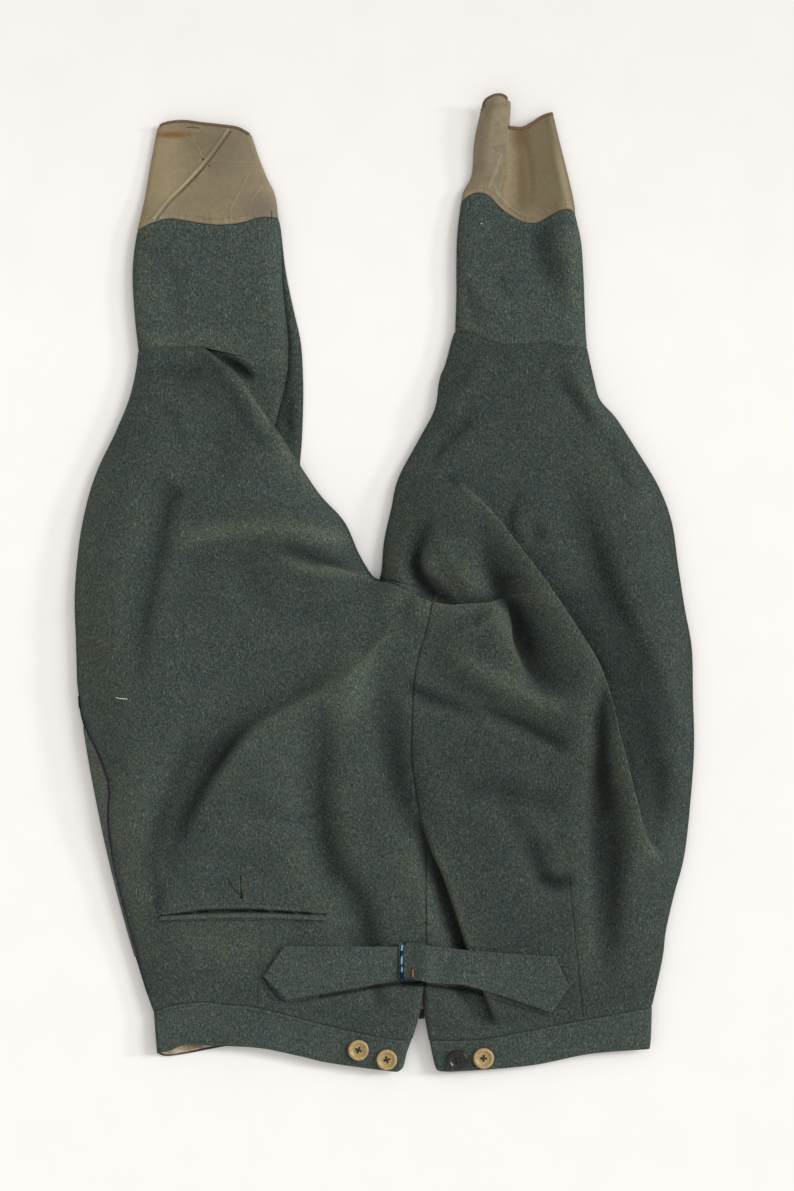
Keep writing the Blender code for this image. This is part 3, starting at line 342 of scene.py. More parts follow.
# Folds of the upper layer. The line's points give x, y and crest height, below zero for a valley, and
# left and right are the distances over which it dies away on either side of that line. The last number,
# where there is one, is how many millimetres a fold hangs over for each millimetre of its height
Fold = namedtuple("Fold", "name left right line lean", defaults=[0])
FOLDS = [
    Fold("right seat diagonal", 48, 9, [(11, -38, 0), (-7, -58, 4.5), (-33, -80, 7.5), (-63, -98, 7.5),
        (-103, -121, 7.5), (-132, -155, 7.2), (-153, -191, 4.2), (-167, -218, 1.6), (-179, -240, 0)], 0.6),
    Fold("hollow beside the right seat diagonal", 9, 32, [(-91, -98, 0), (-111, -112, -2),
        (-125, -130, -4.5), (-143, -157, -5), (-159, -181, -3.4), (-170, -203, -1.6), (-180, -224, 0)]),
    Fold("lower hollow of the right seat", 20, 24, [(-145, -162, 0), (-159, -182, -1.8),
        (-172, -209, -3.2), (-182, -235, -3.2), (-189, -258, -2), (-192, -278, 0)]),
    Fold("right seat valley", 13, 20, [(-58, -98, 0), (-53, -119, -4.5), (-53, -144, -7.5),
        (-55, -174, -8.5), (-54, -199, -10), (-49, -224, -11), (-42, -243, -11), (-31, -257, -10),
        (-22, -272, -9.5), (-17, -288, -9.5), (-14, -305, -8), (-10, -322, -4), (-8, -342, 0)]),
    Fold("valley right of the centre seam", 17, 17, [(1, -68, 0), (3, -90, -3.2), (6, -119, -5.2),
        (10, -149, -6.6), (16, -174, -6.6), (22, -192, -5.6), (30, -213, -3), (38, -233, 0)]),
    Fold("deep crease left of the centre seam", 4, 11, [(21, -189, 0), (26, -199, -2), (33, -212, -6),
        (40, -230, -10.5), (49, -250, -12.5), (56, -271, -12.5), (63, -292, -12.5), (68, -309, -12),
        (74, -327, -11), (82, -347, -8.5), (88, -363, -5), (93, -378, 0)], -0.3),
    Fold("hollow under the cinch", 4, 17, [(62, -327, 0), (69, -339, -6.5), (75, -349, -6.5),
        (84, -361, -3.5), (91, -374, 0)]),
    Fold("left thigh diagonal ridge", 5, 26, [(51, 89, 0), (68, 78, 3.5), (81, 68, 6.5), (96, 53, 9.5),
        (113, 31, 11.5), (133, 5, 12), (150, -20, 12.5), (167, -46, 12.5), (181, -70, 12.5),
        (190, -96, 12.5), (197, -127, 12), (204, -153, 11.5), (211, -182, 10.5), (219, -212, 8.5),
        (233, -240, 0)], 0.8),
    Fold("left thigh deep valley", 15, 10, [(73, 65, 0), (79, 47, -3), (85, 23, -5.8), (95, -4, -10.5),
        (106, -29, -15.5), (116, -50, -13.5), (125, -70, -7.5), (133, -87, -4), (142, -105, 0)]),
    Fold("left seat long valley", 8, 8, [(174, -60, 0), (175, -86, -5), (175, -115, -10), (177, -140, -11),
        (179, -164, -8.5), (182, -184, -4), (182, -203, 0)]),
    Fold("left seat long valley's lower part", 10, 9, [(172, -140, 0), (175, -174, -4), (178, -208, -5.6),
        (179, -241, -5.6), (182, -271, -5), (183, -304, -3), (183, -342, 0)]),
    Fold("left seat long valley's other side", 9, 10, [(184, -153, 0), (188, -182, -4), (192, -216, -5.6),
        (194, -250, -5.6), (194, -275, -4.6), (192, -304, -3), (188, -342, 0)]),
    Fold("left seat bright band", 13, 9, [(46, -63, 0), (64, -70, 4), (86, -81, 7), (109, -91, 7),
        (132, -100, 6), (149, -108, 4), (164, -117, 0)]),
    Fold("left seat cross valley", 7, 6, [(74, -102, 0), (93, -110, -3.4), (113, -118, -4.4),
        (132, -128, -4.4), (145, -135, -3.4), (155, -140, 0)]),
    Fold("left seat short cross valley", 6, 7, [(17, -81, 0), (23, -90, -4), (35, -96, -4.5),
        (50, -101, -3.6), (65, -106, -2.5), (81, -112, 0)]),
    Fold("left seat hollow", 14, 12, [(56, -167, 0), (76, -171, -3.4), (96, -172, -4.4), (117, -180, -4),
        (137, -187, -3.4), (152, -194, 0)]),
    Fold("left seat slant hollow", 13, 13, [(91, -172, 0), (102, -187, -3), (112, -204, -3.4),
        (123, -223, -3), (131, -241, 0)]),
    Fold("crotch valley", 6.5, 9, [(39, 63, 0), (35, 49, -2.5), (30, 32, -7), (28, 18, -11),
        (32, 5, -12.5), (39, -4, -11.5), (48, -11, -7.5), (55, -17, -2.5), (61, -21, 0)], -0.2),
    Fold("ridge left of the crotch valley", 14, 9, [(47, 47, 0), (52, 30, 3.5), (59, 15, 5), (70, -1, 4.5),
        (82, -14, 0)]),
    Fold("seat fold over the left thigh", 4, 42, [(-59, 15, 0), (-46, 12, 2), (-24, 7, 5), (-10, 3, 6),
        (7, -1, 8), (23, -8, 9.5), (38, -15, 10.5), (57, -18, 9.5), (72, -17, 8), (86, -17, 5.5),
        (97, -16, 2.5), (109, -15, 0)], 1.3),
    Fold("end of the seat fold", 4, 32, [(92, -17, 0), (100, -23, 2.5), (105, -35, 5), (107, -49, 5.5),
        (111, -61, 4.5), (115, -73, 2.5), (121, -85, 0)], 1),
    Fold("right thigh soft valley", 9, 18, [(-174, 85, 0), (-180, 74, -5.5), (-185, 58, -6.2),
        (-188, 41, -5.6), (-192, 21, -5), (-198, -6, -4.8), (-203, -31, -4.5), (-206, -56, -3.5),
        (-209, -91, 0)]),
    Fold("right thigh cross ridge", 12, 12, [(-189, 31, 0), (-164, 38, 4.4), (-137, 42, 5),
        (-103, 47, 4.6), (-71, 43, 4.6), (-41, 38, 4), (-24, 28, 0)]),
    Fold("right thigh cross hollow", 8, 7, [(-95, 34, 0), (-79, 29, -3), (-64, 23, -4), (-47, 17, -3.2),
        (-32, 11, -2), (-19, 5, 0)]),
    Fold("right thigh lower ridge", 5, 10, [(-95, 24, 0), (-78, 16, 4), (-54, 10, 5), (-33, 7, 5),
        (-14, 3, 3), (0, -2, 0)]),
    Fold("hollow under the right thigh lower ridge", 14, 16, [(-127, 26, 0), (-117, 3, -3.2),
        (-101, -14, -4), (-79, -23, -3.2), (-37, -24, -2.8), (0, -24, 0)]),
    Fold("left thigh long soft valley", 11, 18, [(150, 95, 0), (163, 66, -3), (173, 41, -5),
        (183, 13, -7.2), (192, -12, -7.4), (203, -35, -6), (215, -60, -5), (228, -90, -4.5),
        (238, -112, -3.5), (245, -132, -2.2), (249, -155, 0)]),
    Fold("left thigh lower side hollow", 17, 17, [(215, -90, 0), (221, -119, -4), (228, -149, -5),
        (233, -178, -4.5), (236, -199, -2.5), (239, -219, 0)]),
    Fold("left dart hollow", 10, 8, [(120, -211, 0), (126, -231, -3.5), (133, -246, -5), (143, -252, -4.6),
        (157, -251, -3), (172, -254, 0)]),
    Fold("left knee inner crease", 16, 7, [(91, 196, 0), (84, 186, 2.5), (76, 174, 3.5), (67, 162, 3.5),
        (57, 149, 2.5), (45, 135, 0)]),
    Fold("left knee outer crease", 14, 9, [(147, 198, 0), (154, 187, 2.5), (162, 175, 4), (172, 160, 4),
        (182, 145, 3), (196, 125, 0)]),
    Fold("left leg end curl", 20, 20, [(95, 424, 9), (92, 400, 9), (91, 370, 7), (88, 345, 4),
        (84, 318, 0)]),
    Fold("left leg end outer edge", 7, 6, [(143, 404, 1.6), (147, 380, 2), (152, 350, 2), (156, 328, 1.5),
        (156, 305, 0)]),
]

# Where the diagonal fold lies on the cloth folded under it, the upper layer is lifted by one wall
LAPS = [
    Fold("lap over the knee fold", 26, 26, [(-150, 194, 0), (-140, 186, 2.4), (-107, 151, 3.8),
        (-88, 125, 4.2), (-78, 110, 3), (-62, 88, 0)]),
]


# Smaller creases, which the solids leave out
CREASES = [
    Fold("pit under the right knee seam", 3.5, 8, [(-141, 196, 0), (-133, 191, -2), (-125, 186, -3.8),
        (-117, 180, -3.8), (-110, 173, 0)]),
    Fold("hollow under the right knee seam", 2, 6, [(-209, 192, 0), (-197, 196, -0.8), (-180, 198, -1),
        (-156, 199, -0.8), (-144, 198, 0)]),
    Fold("step under the right knee seam", 1.2, 5, [(-116, 186, 0), (-107, 183, -0.7), (-97, 182, -0.7),
        (-85, 180, -0.5), (-78, 178, 0)]),
    Fold("hollow inside the right fold edge", 6, 8, [(-151, 196, 0), (-143, 182, -1), (-131, 162, -1.4),
        (-119, 142, -1.4), (-107, 123, -1.2), (-95, 106, 0)]),
    Fold("hollow under the right knee", 9, 11, [(-209, 177, 0), (-192, 180, -1.6), (-166, 178, -1.8),
        (-151, 181, -1.4), (-136, 172, 0)]),
    Fold("second band beside the right seat diagonal", 8, 10, [(-159, -118, 0), (-165, -140, -2.2),
        (-180, -171, -2.6), (-192, -204, -2.6), (-199, -238, -1.6), (-192, -267, 0)]),
    Fold("right thigh short crease by the crotch", 5, 7, [(6, -4, 0), (15, -19, -2.2), (13, -36, -1.8),
        (8, -48, 0)]),
    Fold("second lip of the seat fold", 2.5, 3, [(65, -22, 0), (77, -22, 1.5), (91, -25, 1.6),
        (102, -33, 0)]),
    Fold("dent under the cinch", 7, 7, [(-14, -330, 0), (-8, -341, -3), (-5, -354, -2), (-3, -366, 0)]),
    Fold("right seat soft dimple", 10, 12, [(-125, -182, 0), (-108, -189, -2), (-88, -196, -2.4),
        (-71, -201, -1.5), (-58, -204, 0)]),
    Fold("right seat bright rise", 18, 16, [(-15, -58, 0), (-26, -76, 5), (-29, -98, 5.2), (-27, -123, 0)]),
    Fold("right knee slant crease", 5, 6, [(-195, 157, 0), (-185, 147, -1.2), (-176, 130, -1.2),
        (-171, 111, 0)]),
    Fold("right thigh hollow", 12, 14, [(-159, 138, 0), (-140, 116, -2), (-135, 97, -1.8), (-143, 77, 0)]),
    Fold("left knee inner dark crease", 5, 8, [(78, 149, 0), (69, 135, -2.2), (57, 123, -2.8),
        (45, 110, -2.4), (33, 94, 0)]),
    Fold("left knee spot", 6, 6, [(55, 94, 0), (57, 85, -2.8), (58, 76, 0)]),
    Fold("left thigh streak beside the ridge", 5, 7, [(115, 82, 0), (109, 65, -2.2), (105, 50, -2.4),
        (111, 30, 0)]),
    Fold("left thigh spot", 6, 6, [(125, 52, 0), (129, 42, -2.2), (134, 30, 0)]),
    Fold("left knee middle ridge", 4, 5, [(132, 162, 0), (136, 176, 1.2), (142, 189, 1.2), (149, 196, 0)]),
    Fold("left knee outer dent", 7, 7, [(145, 174, 0), (154, 162, -2), (166, 143, -2), (177, 123, 0)]),
    Fold("left thigh outer crease", 7, 8, [(180, 122, 0), (192, 107, -1.8), (202, 90, -2.2), (207, 67, 0)]),
    Fold("left seat side crease", 7, 8, [(235, -139, 0), (234, -174, -1.6), (228, -212, -1.2),
        (220, -244, 0)]),
    Fold("right seat side crease", 6, 8, [(-194, -246, 0), (-192, -260, -2.4), (-191, -273, -2.4),
        (-187, -288, 0)]),
    Fold("right calf soft crease", 7, 8, [(-189, 285, 0), (-179, 261, -1.2), (-176, 232, -1.1),
        (-182, 205, 0)]),
    Fold("right calf side crease", 5, 6, [(-212, 282, 0), (-202, 281, -1.4), (-190, 276, 0)]),
    Fold("right calf lower side crease", 5, 6, [(-210, 215, 0), (-200, 217, -1.6), (-187, 218, 0)]),
    Fold("left calf hollow", 13, 12, [(149, 325, 0), (140, 308, -3), (133, 287, -4.4), (140, 267, -4.4),
        (147, 252, -2.6), (142, 228, 0)]),
    Fold("left calf side hollow", 6, 7, [(67, 260, 0), (71, 243, -2.4), (76, 228, -2.2), (81, 215, 0)]),
    Fold("left calf middle hollow", 5, 6, [(96, 265, 0), (100, 252, -1.8), (105, 238, 0)]),
    Fold("left leg end trough crease", 3, 3, [(116, 384, 0), (122, 362, -0.8), (124, 338, -0.8),
        (122, 316, 0)]),
]

# Where the cloth is painted paler, above zero, or darker, below zero, in the same form: a little of it is
# wear, most of it is painted light on crests and rims and painted shade in hollows, creases, pits and under
# folds
WEAR_AND_PAINTED_LIGHT = [
    # Painted light on the seat beside the crotch
    Fold("seat painted light beside the crotch", 14, 22, [(8, -41, 0), (-9, -59, 1.2), (-26, -81, 1.7),
        (-31, -103, 1.4), (-29, -130, 0)]),
    Fold("crest of the left thigh ridge", 5, 8, [(65, 79, 0), (81, 68, 0.5), (102, 45, 0.7),
        (124, 13, 0.7), (148, -22, 0.9), (171, -61, 1.1), (187, -98, 0.9), (197, -136, 1.1),
        (205, -174, 1.3), (216, -209, 1.5), (228, -235, 0)]),
    Fold("left seat band", 8, 8, [(43, -65, 0), (68, -74, 1.1), (89, -83, 1.8), (109, -93, 1.7),
        (135, -103, 1.3), (155, -112, 0)]),
    Fold("right thigh cross ridge", 8, 8, [(-179, 32, 0), (-155, 40, 0.8), (-117, 47, 0.6), (-75, 44, 0.9),
        (-44, 39, 0.9), (-29, 32, 0)]),
    Fold("ridge by the crotch", 6, 7, [(38, 32, 0), (45, 20, 1.1), (54, 5, 1.3), (64, -9, 0)]),
    Fold("left thigh beyond the ridge", 22, 22, [(141, 23, 0), (166, -19, -0.8), (187, -53, -1.1),
        (210, -93, -1.5), (220, -128, -1.6), (228, -166, -1.4), (234, -209, 0)]),
    Fold("left thigh", 40, 40, [(148, 87, 0), (190, 20, -0.35), (219, -48, -0.35), (224, -115, 0)]),
    Fold("left seat", 34, 30, [(72, -115, 0), (81, -157, -0.35), (89, -208, -0.35), (97, -267, 0)]),
    Fold("lower layer under the right fold", 5, 7, [(-78, 206, 0), (-78, 168, -1), (-80, 138, -2),
        (-77, 111, 0)]),
    Fold("left dart", 8, 8, [(128, -230, 0), (135, -248, -0.8), (150, -253, -0.8), (163, -253, 0)]),
    Fold("right knee pit", 4, 8, [(-139, 196, 0), (-130, 190, -1), (-122, 184, -1.4), (-116, 179, -1),
        (-110, 172, 0)]),
    # Painted shade along the left seat's long valley
    Fold("left seat long valley, painted shade", 14, 13, [(179, -132, 0), (184, -174, -0.6), (188, -216, -1.1),
        (192, -250, -1.1), (193, -283, -0.8), (192, -317, 0)]),
    Fold("right seat wedge", 10, 30, [(-111, -120, 0), (-130, -145, -0.8), (-150, -177, -0.8),
        (-169, -208, -0.9), (-184, -236, -0.5), (-191, -263, 0)]),
    Fold("beside the centre seam", 15, 15, [(1, -90, 0), (6, -132, -0.8), (13, -170, -1), (23, -195, -0.8),
        (33, -220, 0)]),
    Fold("left calf hollow", 13, 12, [(145, 321, 0), (137, 304, -0.9), (133, 282, -1.1), (142, 257, -0.8),
        (142, 235, 0)]),
    Fold("right knee", 9, 9, [(-207, 208, 0), (-190, 207, 0.6), (-156, 209, 0.6), (-129, 206, 0.4),
        (-104, 198, 0)]),
    Fold("under the right knee", 13, 16, [(-202, 181, 0), (-173, 179, -0.6), (-151, 174, -0.7),
        (-134, 155, -0.7), (-117, 125, -0.6), (-104, 99, 0)]),
    Fold("line inside the right fold edge", 5, 6, [(-151, 193, 0), (-141, 179, -0.5), (-129, 159, -0.5),
        (-117, 138, -0.5), (-105, 120, -0.4), (-94, 103, 0)]),
    Fold("edge of the right fold", 4, 5, [(-138, 187, 0), (-117, 167, 1), (-95, 130, 1), (-75, 99, 1),
        (-53, 71, 0)]),
    Fold("right leg outer side", 9, 9, [(-229, 121, 0), (-246, 74, 0.6), (-254, 32, 0.7), (-257, -14, 0.9),
        (-257, -56, 0.9), (-254, -98, 0.9), (-246, -132, 0.7), (-236, -174, 1), (-228, -212, 1.2),
        (-218, -254, 1.1), (-206, -300, 0.8), (-196, -338, 0)]),
    Fold("left leg inner side", 6, 6, [(1, -7, 0), (3, 20, 0.6), (8, 53, 0.6), (17, 87, 0.5), (33, 133, 0)]),
    Fold("right calf outer side", 7, 7, [(-204, 301, 0), (-206, 265, 0.6), (-207, 232, 0.6),
        (-204, 202, 0)]),
    Fold("seat under the pocket", 24, 20, [(-185, -299, 0), (-155, -305, 0.8), (-117, -310, 0.8),
        (-84, -315, 0)]),
    Fold("left seat side", 10, 12, [(173, -267, 0), (171, -292, 0.4), (170, -326, 0.4), (173, -351, 0)]),
    Fold("right seat side", 15, 12, [(-226, -153, 0), (-221, -181, 0.7), (-217, -212, 0.8),
        (-211, -246, 0.6), (-204, -279, 0)]),
    Fold("left calf outer edge", 6, 6, [(167, 312, 0), (161, 287, 0.8), (160, 253, 0.8), (164, 223, 0)]),
    Fold("left leg end outer edge", 3, 3.5, [(142, 377, 0), (148, 358, 0.35), (153, 338, 0.4),
        (157, 320, 0.3), (159, 311, 0)]),
]

# Seams, slits and pressed creases: a named line or points, how deep and wide the groove is, and the cloth
# turned under beside it, as its height and its width. A crease of less than zero depth stands up. The depth
# also sets painted shade in the groove, or painted light along a crease that stands up
Seam = namedtuple("Seam", "name line depth half allowance width")
SEAMS = [
    Seam("centre back seam", "centre_back", 0.6, 0.8, 0.2, 8),
    Seam("crotch seam", "crotch_lap", 0.5, 0.8, 0.1, 6),
    Seam("right waist seam", "right_waist_seam", 0.3, 0.7, 0.2, 6),
    Seam("left waist seam", "left_waist_seam", 0.35, 0.7, 0.25, 6),
    Seam("right knee seam", "right_knee_outer", 0.1, 0.8, 0.15, 7),
    Seam("right inner knee seam", "right_knee_inner", -0.2, 0.8, 0.1, 7),
    Seam("left knee seam", "left_knee_seam", 0.15, 0.8, 0.15, 7),
    Seam("right cuff seam", "right_cuff_seam", 0.5, 0.7, 0.3, 6),
    Seam("left tab seam", "left_cuff_seam_tab", 0.4, 0.7, 0.3, 6),
    Seam("left cuff seam", "left_cuff_seam_back", 0.4, 0.7, 0.3, 6),
    Seam("right yoke seam", [(35, -287), (18, -291), (1, -300), (-14, -312)], 0.5, 0.7, 0.15, 6),
    Seam("left yoke seam", [(34, -287), (50, -290), (62, -299), (78, -312)], 0.5, 0.7, 0.15, 6),
    Seam("right dart", [(-101, -244), (-104, -270)], 0.5, 0.6, 0, 6),
    Seam("right dart, lower part", [(-104, -282), (-106, -320), (-108, -357)], 0.5, 0.6, 0, 6),
    Seam("left dart", [(156, -248), (158, -272), (163, -319), (168, -367)], 0.45, 0.7, 0.15, 6),
    Seam("pocket slit", [(-189, -281), (-165, -279), (-130, -277.4), (-95, -277.4), (-50, -279.4)],
        1.4, 0.7, 0.4, 4),
    # The pocket mouth: grooves that carry painted shade in the slit
    Seam("pocket mouth", [(-181, -280), (-150, -277.6), (-110, -276.9), (-64, -278.6)], 1.6, 1.0, 0, 0),
    Seam("pocket mouth, wider", [(-171, -278.8), (-145, -277), (-112, -276.6), (-79, -277.8)],
        2.0, 1.35, 0, 0),
    Seam("pocket mouth, widest", [(-158, -277.6), (-138, -276.8), (-120, -276.5), (-103, -276.8)],
        3.0, 1.9, 0, 0),
    Seam("pocket welt's lower edge", [(-188, -285), (-165, -284.6), (-120, -284), (-62, -284.6)],
        0.45, 0.6, 0, 0),
    Seam("pocket stitching", [(-169, -272), (-125, -270), (-82, -271.5)], 0.35, 0.6, 0, 0),
    Seam("crease over the pocket", [(-132, -250), (-127, -258), (-122, -263)], 0.9, 0.6, 0, 0),
    Seam("buttonhole", [(-121, -247), (-121, -257), (-120.6, -264)], 1.2, 0.6, 0.4, 1.8),
    Seam("buttonhole's open end", [(-120.8, -259), (-120.6, -265)], 3.0, 0.9, 0, 0),
    Seam("pocket right bartack", [(-194, -270), (-191, -283)], 0.5, 0.7, 0, 0),
    Seam("pocket left bartack", [(-49, -270), (-48, -280)], 0.4, 0.7, 0, 0),
    # Grooves with painted shadow along the lower edge and the tips of the cinch
    Seam("groove and painted shadow under the cinch", [(-54, -349.5), (-29, -345), (-5, -341), (13, -338), (34, -339.5),
        (51, -342), (66, -344.5), (81, -349)], 1.6, 1.5, 0, 0),
    Seam("cinch's left edge", [(81, -349), (110, -357.5), (138, -366)], 0.6, 0.8, 0, 0),
    Seam("cinch's right tip", [(-102.5, -333), (-84.5, -354), (-54, -349)], 0.9, 0.9, 0, 0),
    Seam("right leg end pleat", [(-131.4, 383.4), (-152.6, 354.4), (-168, 337.3), (-182.5, 322.8),
        (-194, 308)], 1.0, 0.9, 0, 0),
    Seam("crest of the right leg end pleat", [(-133.4, 384.8), (-154.6, 355.9), (-169.9, 338.9),
        (-184.3, 324.4), (-195.6, 309.4)], -0.95, 1.3, 0, 0),
    Seam("right leg end upper crease", [(-168, 387.4), (-158, 386.6)], 0.8, 0.5, 0, 0),
    Seam("right leg end cross crease", [(-147, 358.6), (-130, 357.4), (-111, 357)], -0.3, 0.7, 0, 0),
    Seam("right leg end slant crease", [(-116, 347), (-124, 331), (-131, 316)], -0.35, 0.7, 0, 0),
    Seam("right leg end side crease", [(-104, 337), (-109, 331), (-114, 324)], -0.35, 0.7, 0, 0),
    Seam("right leg end corner crease", [(-96.6, 316), (-96, 310)], 0.9, 0.5, 0, 0),
    Seam("right leg end crumple", [(-168, 379), (-160, 372), (-156, 364)], -0.25, 0.8, 0, 0),
    Seam("moth hole", [(-154.4, 360.2), (-153.8, 359.8)], 1.8, 0.6, 0, 0),
    Seam("smaller moth hole", [(-149.2, 354.6), (-148.8, 354.2)], 1.5, 0.5, 0, 0),
    Seam("left leg end pressed crease", [(98.6, 362.5), (94, 350), (89, 337)], -0.3, 1.4, 0, 0),
    Seam("left leg end shorter crease", [(100, 350), (98, 339), (95.6, 330)], -0.25, 1.2, 0, 0),
    Seam("left leg end upper arc", [(92, 338), (97.5, 328.5), (107, 318.3), (118.6, 311.6),
        (130.5, 309.8)], -0.25, 1.0, 0, 0),
    Seam("left leg end lower arc", [(91.5, 329.4), (98, 320), (108.4, 311.6), (120.3, 305.6),
        (134.8, 305.6)], -0.25, 1.0, 0, 0),
]
# The width over which cloth turned under dies away, and the puckers that the stitching draws in it, which
# wander along the seam and differ on its two sides
ALLOWANCE_FADE = 3.0
PUCKER_LENGTH = 7.5
PUCKER_SHARE = 0.35
PUCKER_WANDER = 1.7
PUCKER_WANDER_RATE = 0.37
PUCKER_SIDE = 0.6


# Lines in plan

def smooth_line(points, per_span=8):
    """A smooth curve through the points, run straight on at both ends."""
    knots = np.array(points, float)
    if len(knots) == 2:
        return knots
    knots = np.vstack([2 * knots[0] - knots[1], knots, 2 * knots[-1] - knots[-2]])
    t = np.linspace(0, 1, per_span, endpoint=False)[:, None]
    spans = []
    for before, start, end, after in zip(knots[:-3], knots[1:-2], knots[2:-1], knots[3:]):
        square = 2 * before - 5 * start + 4 * end - after
        cube = 3 * (start - end) + after - before
        spans.append(0.5 * (2 * start + (end - before) * t + square * t ** 2 + cube * t ** 3))
    return np.vstack([*spans, knots[-2]])


def lengths_along(line):
    """Length from the start of a line to each of its points."""
    steps = np.linalg.norm(np.diff(line[:, :2], axis=0), axis=1)
    return np.concatenate([[0], np.cumsum(steps)])


def along_line(line, fractions):
    """Points of a line at fractions of its length."""
    run = lengths_along(line)
    at = np.asarray(fractions) * run[-1]
    return np.column_stack([np.interp(at, run, line[:, k]) for k in range(line.shape[1])])


def spread(name, where):
    """Points on a named line at fractions of its length; a whole number asks for that many even cells."""
    fractions = np.linspace(0, 1, where + 1) if isinstance(where, int) else where
    return along_line(smooth_line(LINES[name]), fractions)


def joined(*runs):
    """One run of points from several that meet end to end."""
    return np.vstack([runs[0]] + [run[1:] for run in runs[1:]])


def named(names):
    """One smooth run through named lines that meet end to end."""
    return joined(*[smooth_line(LINES[name]) for name in names.split()])


def fractions_of(points, weights=1):
    """Each point's share of the whole length, where some stretches may count for less."""
    steps = np.linalg.norm(np.diff(points, axis=0), axis=1) * weights
    return np.concatenate([[0], np.cumsum(steps)]) / steps.sum()


def patch(first, last, right, left):
    """Plan points of a piece between its four sides: rows run from the first side to the last."""
    across = fractions_of(first)[None, :, None]
    along = fractions_of(right)[:, None, None]
    ruled = right[:, None] * (1 - across) + left[:, None] * across
    bend_first = first - (first[0] * (1 - across[0]) + first[-1] * across[0])
    bend_last = last - (last[0] * (1 - across[0]) + last[-1] * across[0])
    return ruled + bend_first[None] * (1 - along) + bend_last[None] * along


def inset(grid, first=0.0, last=0.0, right=0.0, left=0.0):
    """Draw each side of a grid in by its own amount, square to the side."""
    out = grid.copy()
    borders = [(np.s_[0], np.s_[2], first), (np.s_[-1], np.s_[-3], last),
               (np.s_[:, 0], np.s_[:, 2], right), (np.s_[:, -1], np.s_[:, -3], left)]
    for side, towards, amount in borders:
        along = np.gradient(grid[side], axis=0)
        square = np.column_stack([-along[:, 1], along[:, 0]])
        square /= np.linalg.norm(square, axis=1)[:, None]
        inward = np.sign(np.sum(square * (grid[towards] - grid[side])))
        out[side] += square * inward * amount
    return out


# The height of the cloth

BOTH_OUTER = ["right_thigh_outer", "right_seat_outer", "left_thigh_outer"]
LEG_EDGES = ["right_cuff_outer", "right_calf_outer", "right_cuff_inner", "right_calf_inner",
             "left_cuff_inner", "left_cuff_outer", "left_calf_inner", "left_calf_outer"]
UPPER_EDGES = BOTH_OUTER + ["right_fold_edge", "left_thigh_inner"]
TUBE_EDGES = BOTH_OUTER + LEG_EDGES + ["knee_fold_inner", "left_thigh_inner", "right_fold_lower"]
WAIST_EDGES = ["notch_right", "notch_left", "band_notch_right", "band_notch_left", "right_waist_edge",
               "left_waist_edge", "right_band_side", "left_band_side"]


def nearest(line, x, y):
    """Distance in plan to a line, side of it, the line's last value there, and its direction there."""
    best = np.full(x.shape, np.inf)
    side = np.ones(x.shape)
    value = np.zeros(x.shape)
    way = np.zeros(x.shape + (2,))
    for start, end in zip(line[:-1], line[1:]):
        dx, dy = end[0] - start[0], end[1] - start[1]
        length = math.hypot(dx, dy) + TINY
        t = np.clip(((x - start[0]) * dx + (y - start[1]) * dy) / length ** 2, 0, 1)
        gap = np.hypot(x - start[0] - t * dx, y - start[1] - t * dy)
        near = gap < best
        best = np.where(near, gap, best)
        side = np.where(near, np.sign(dx * (y - start[1]) - dy * (x - start[0])), side)
        value = np.where(near, start[-1] + t * (end[-1] - start[-1]), value)
        way[near] = (dx / length, dy / length)
    return best, side, value, way


def distance_to(names, x, y):
    """Distance in plan from each point to the nearest of the named lines."""
    return np.min([nearest(smooth_line(LINES[name], HEIGHT_SPAN), x, y)[0] for name in names], axis=0)


def fold_height(fold, x, y):
    """Height that one fold adds, and how far it leans towards its steep side, as a plan vector. A fold that
    leans is worked out from behind its line, and leans forward on to it."""
    gap, side, crest, way = nearest(smooth_line(fold.line, HEIGHT_SPAN), x, y)
    steep = 1 if fold.left < fold.right else -1
    past = gap * side * steep + fold.lean * crest
    reach = np.where(past > 0, min(fold.left, fold.right), max(fold.left, fold.right))
    if fold.lean == 0:
        reach = np.where(side > 0, fold.left, fold.right)
    height = crest * np.exp(-(past / reach) ** 2)
    lean = np.stack([-way[..., 1], way[..., 0]], axis=-1) * (steep * fold.lean * height)[..., None]
    return height, lean


def near_fold(fold, x, y):
    """Which points are within reach of a fold."""
    line = np.array(fold.line)[:, :2]
    low, high = line.min(axis=0), line.max(axis=0)
    reach = TAIL * max(fold.left, fold.right)
    return (x > low[0] - reach) & (x < high[0] + reach) & (y > low[1] - reach) & (y < high[1] + reach)


def folds_height(folds, x, y):
    """Height that a table of folds adds."""
    height = np.zeros(x.shape)
    for fold in folds:
        near = near_fold(fold, x, y)
        if near.any():
            height[near] += fold_height(fold, x[near], y[near])[0]
    return height


def lean_shift(x, y):
    """How far the folds that hang over carry the cloth with them in plan."""
    shift = np.zeros(x.shape + (2,))
    for fold in FOLDS:
        near = near_fold(fold, x, y)
        if fold.lean and near.any():
            shift[near] += fold_height(fold, x[near], y[near])[1]
    return shift * ease(distance_to(UPPER_EDGES, x, y) / FOLD_FADE)[..., None]


def seam_line(seam, per_span):
    """The smooth line of a seam, which has a line's name or its own points."""
    return smooth_line(LINES[seam.line] if isinstance(seam.line, str) else seam.line, per_span)


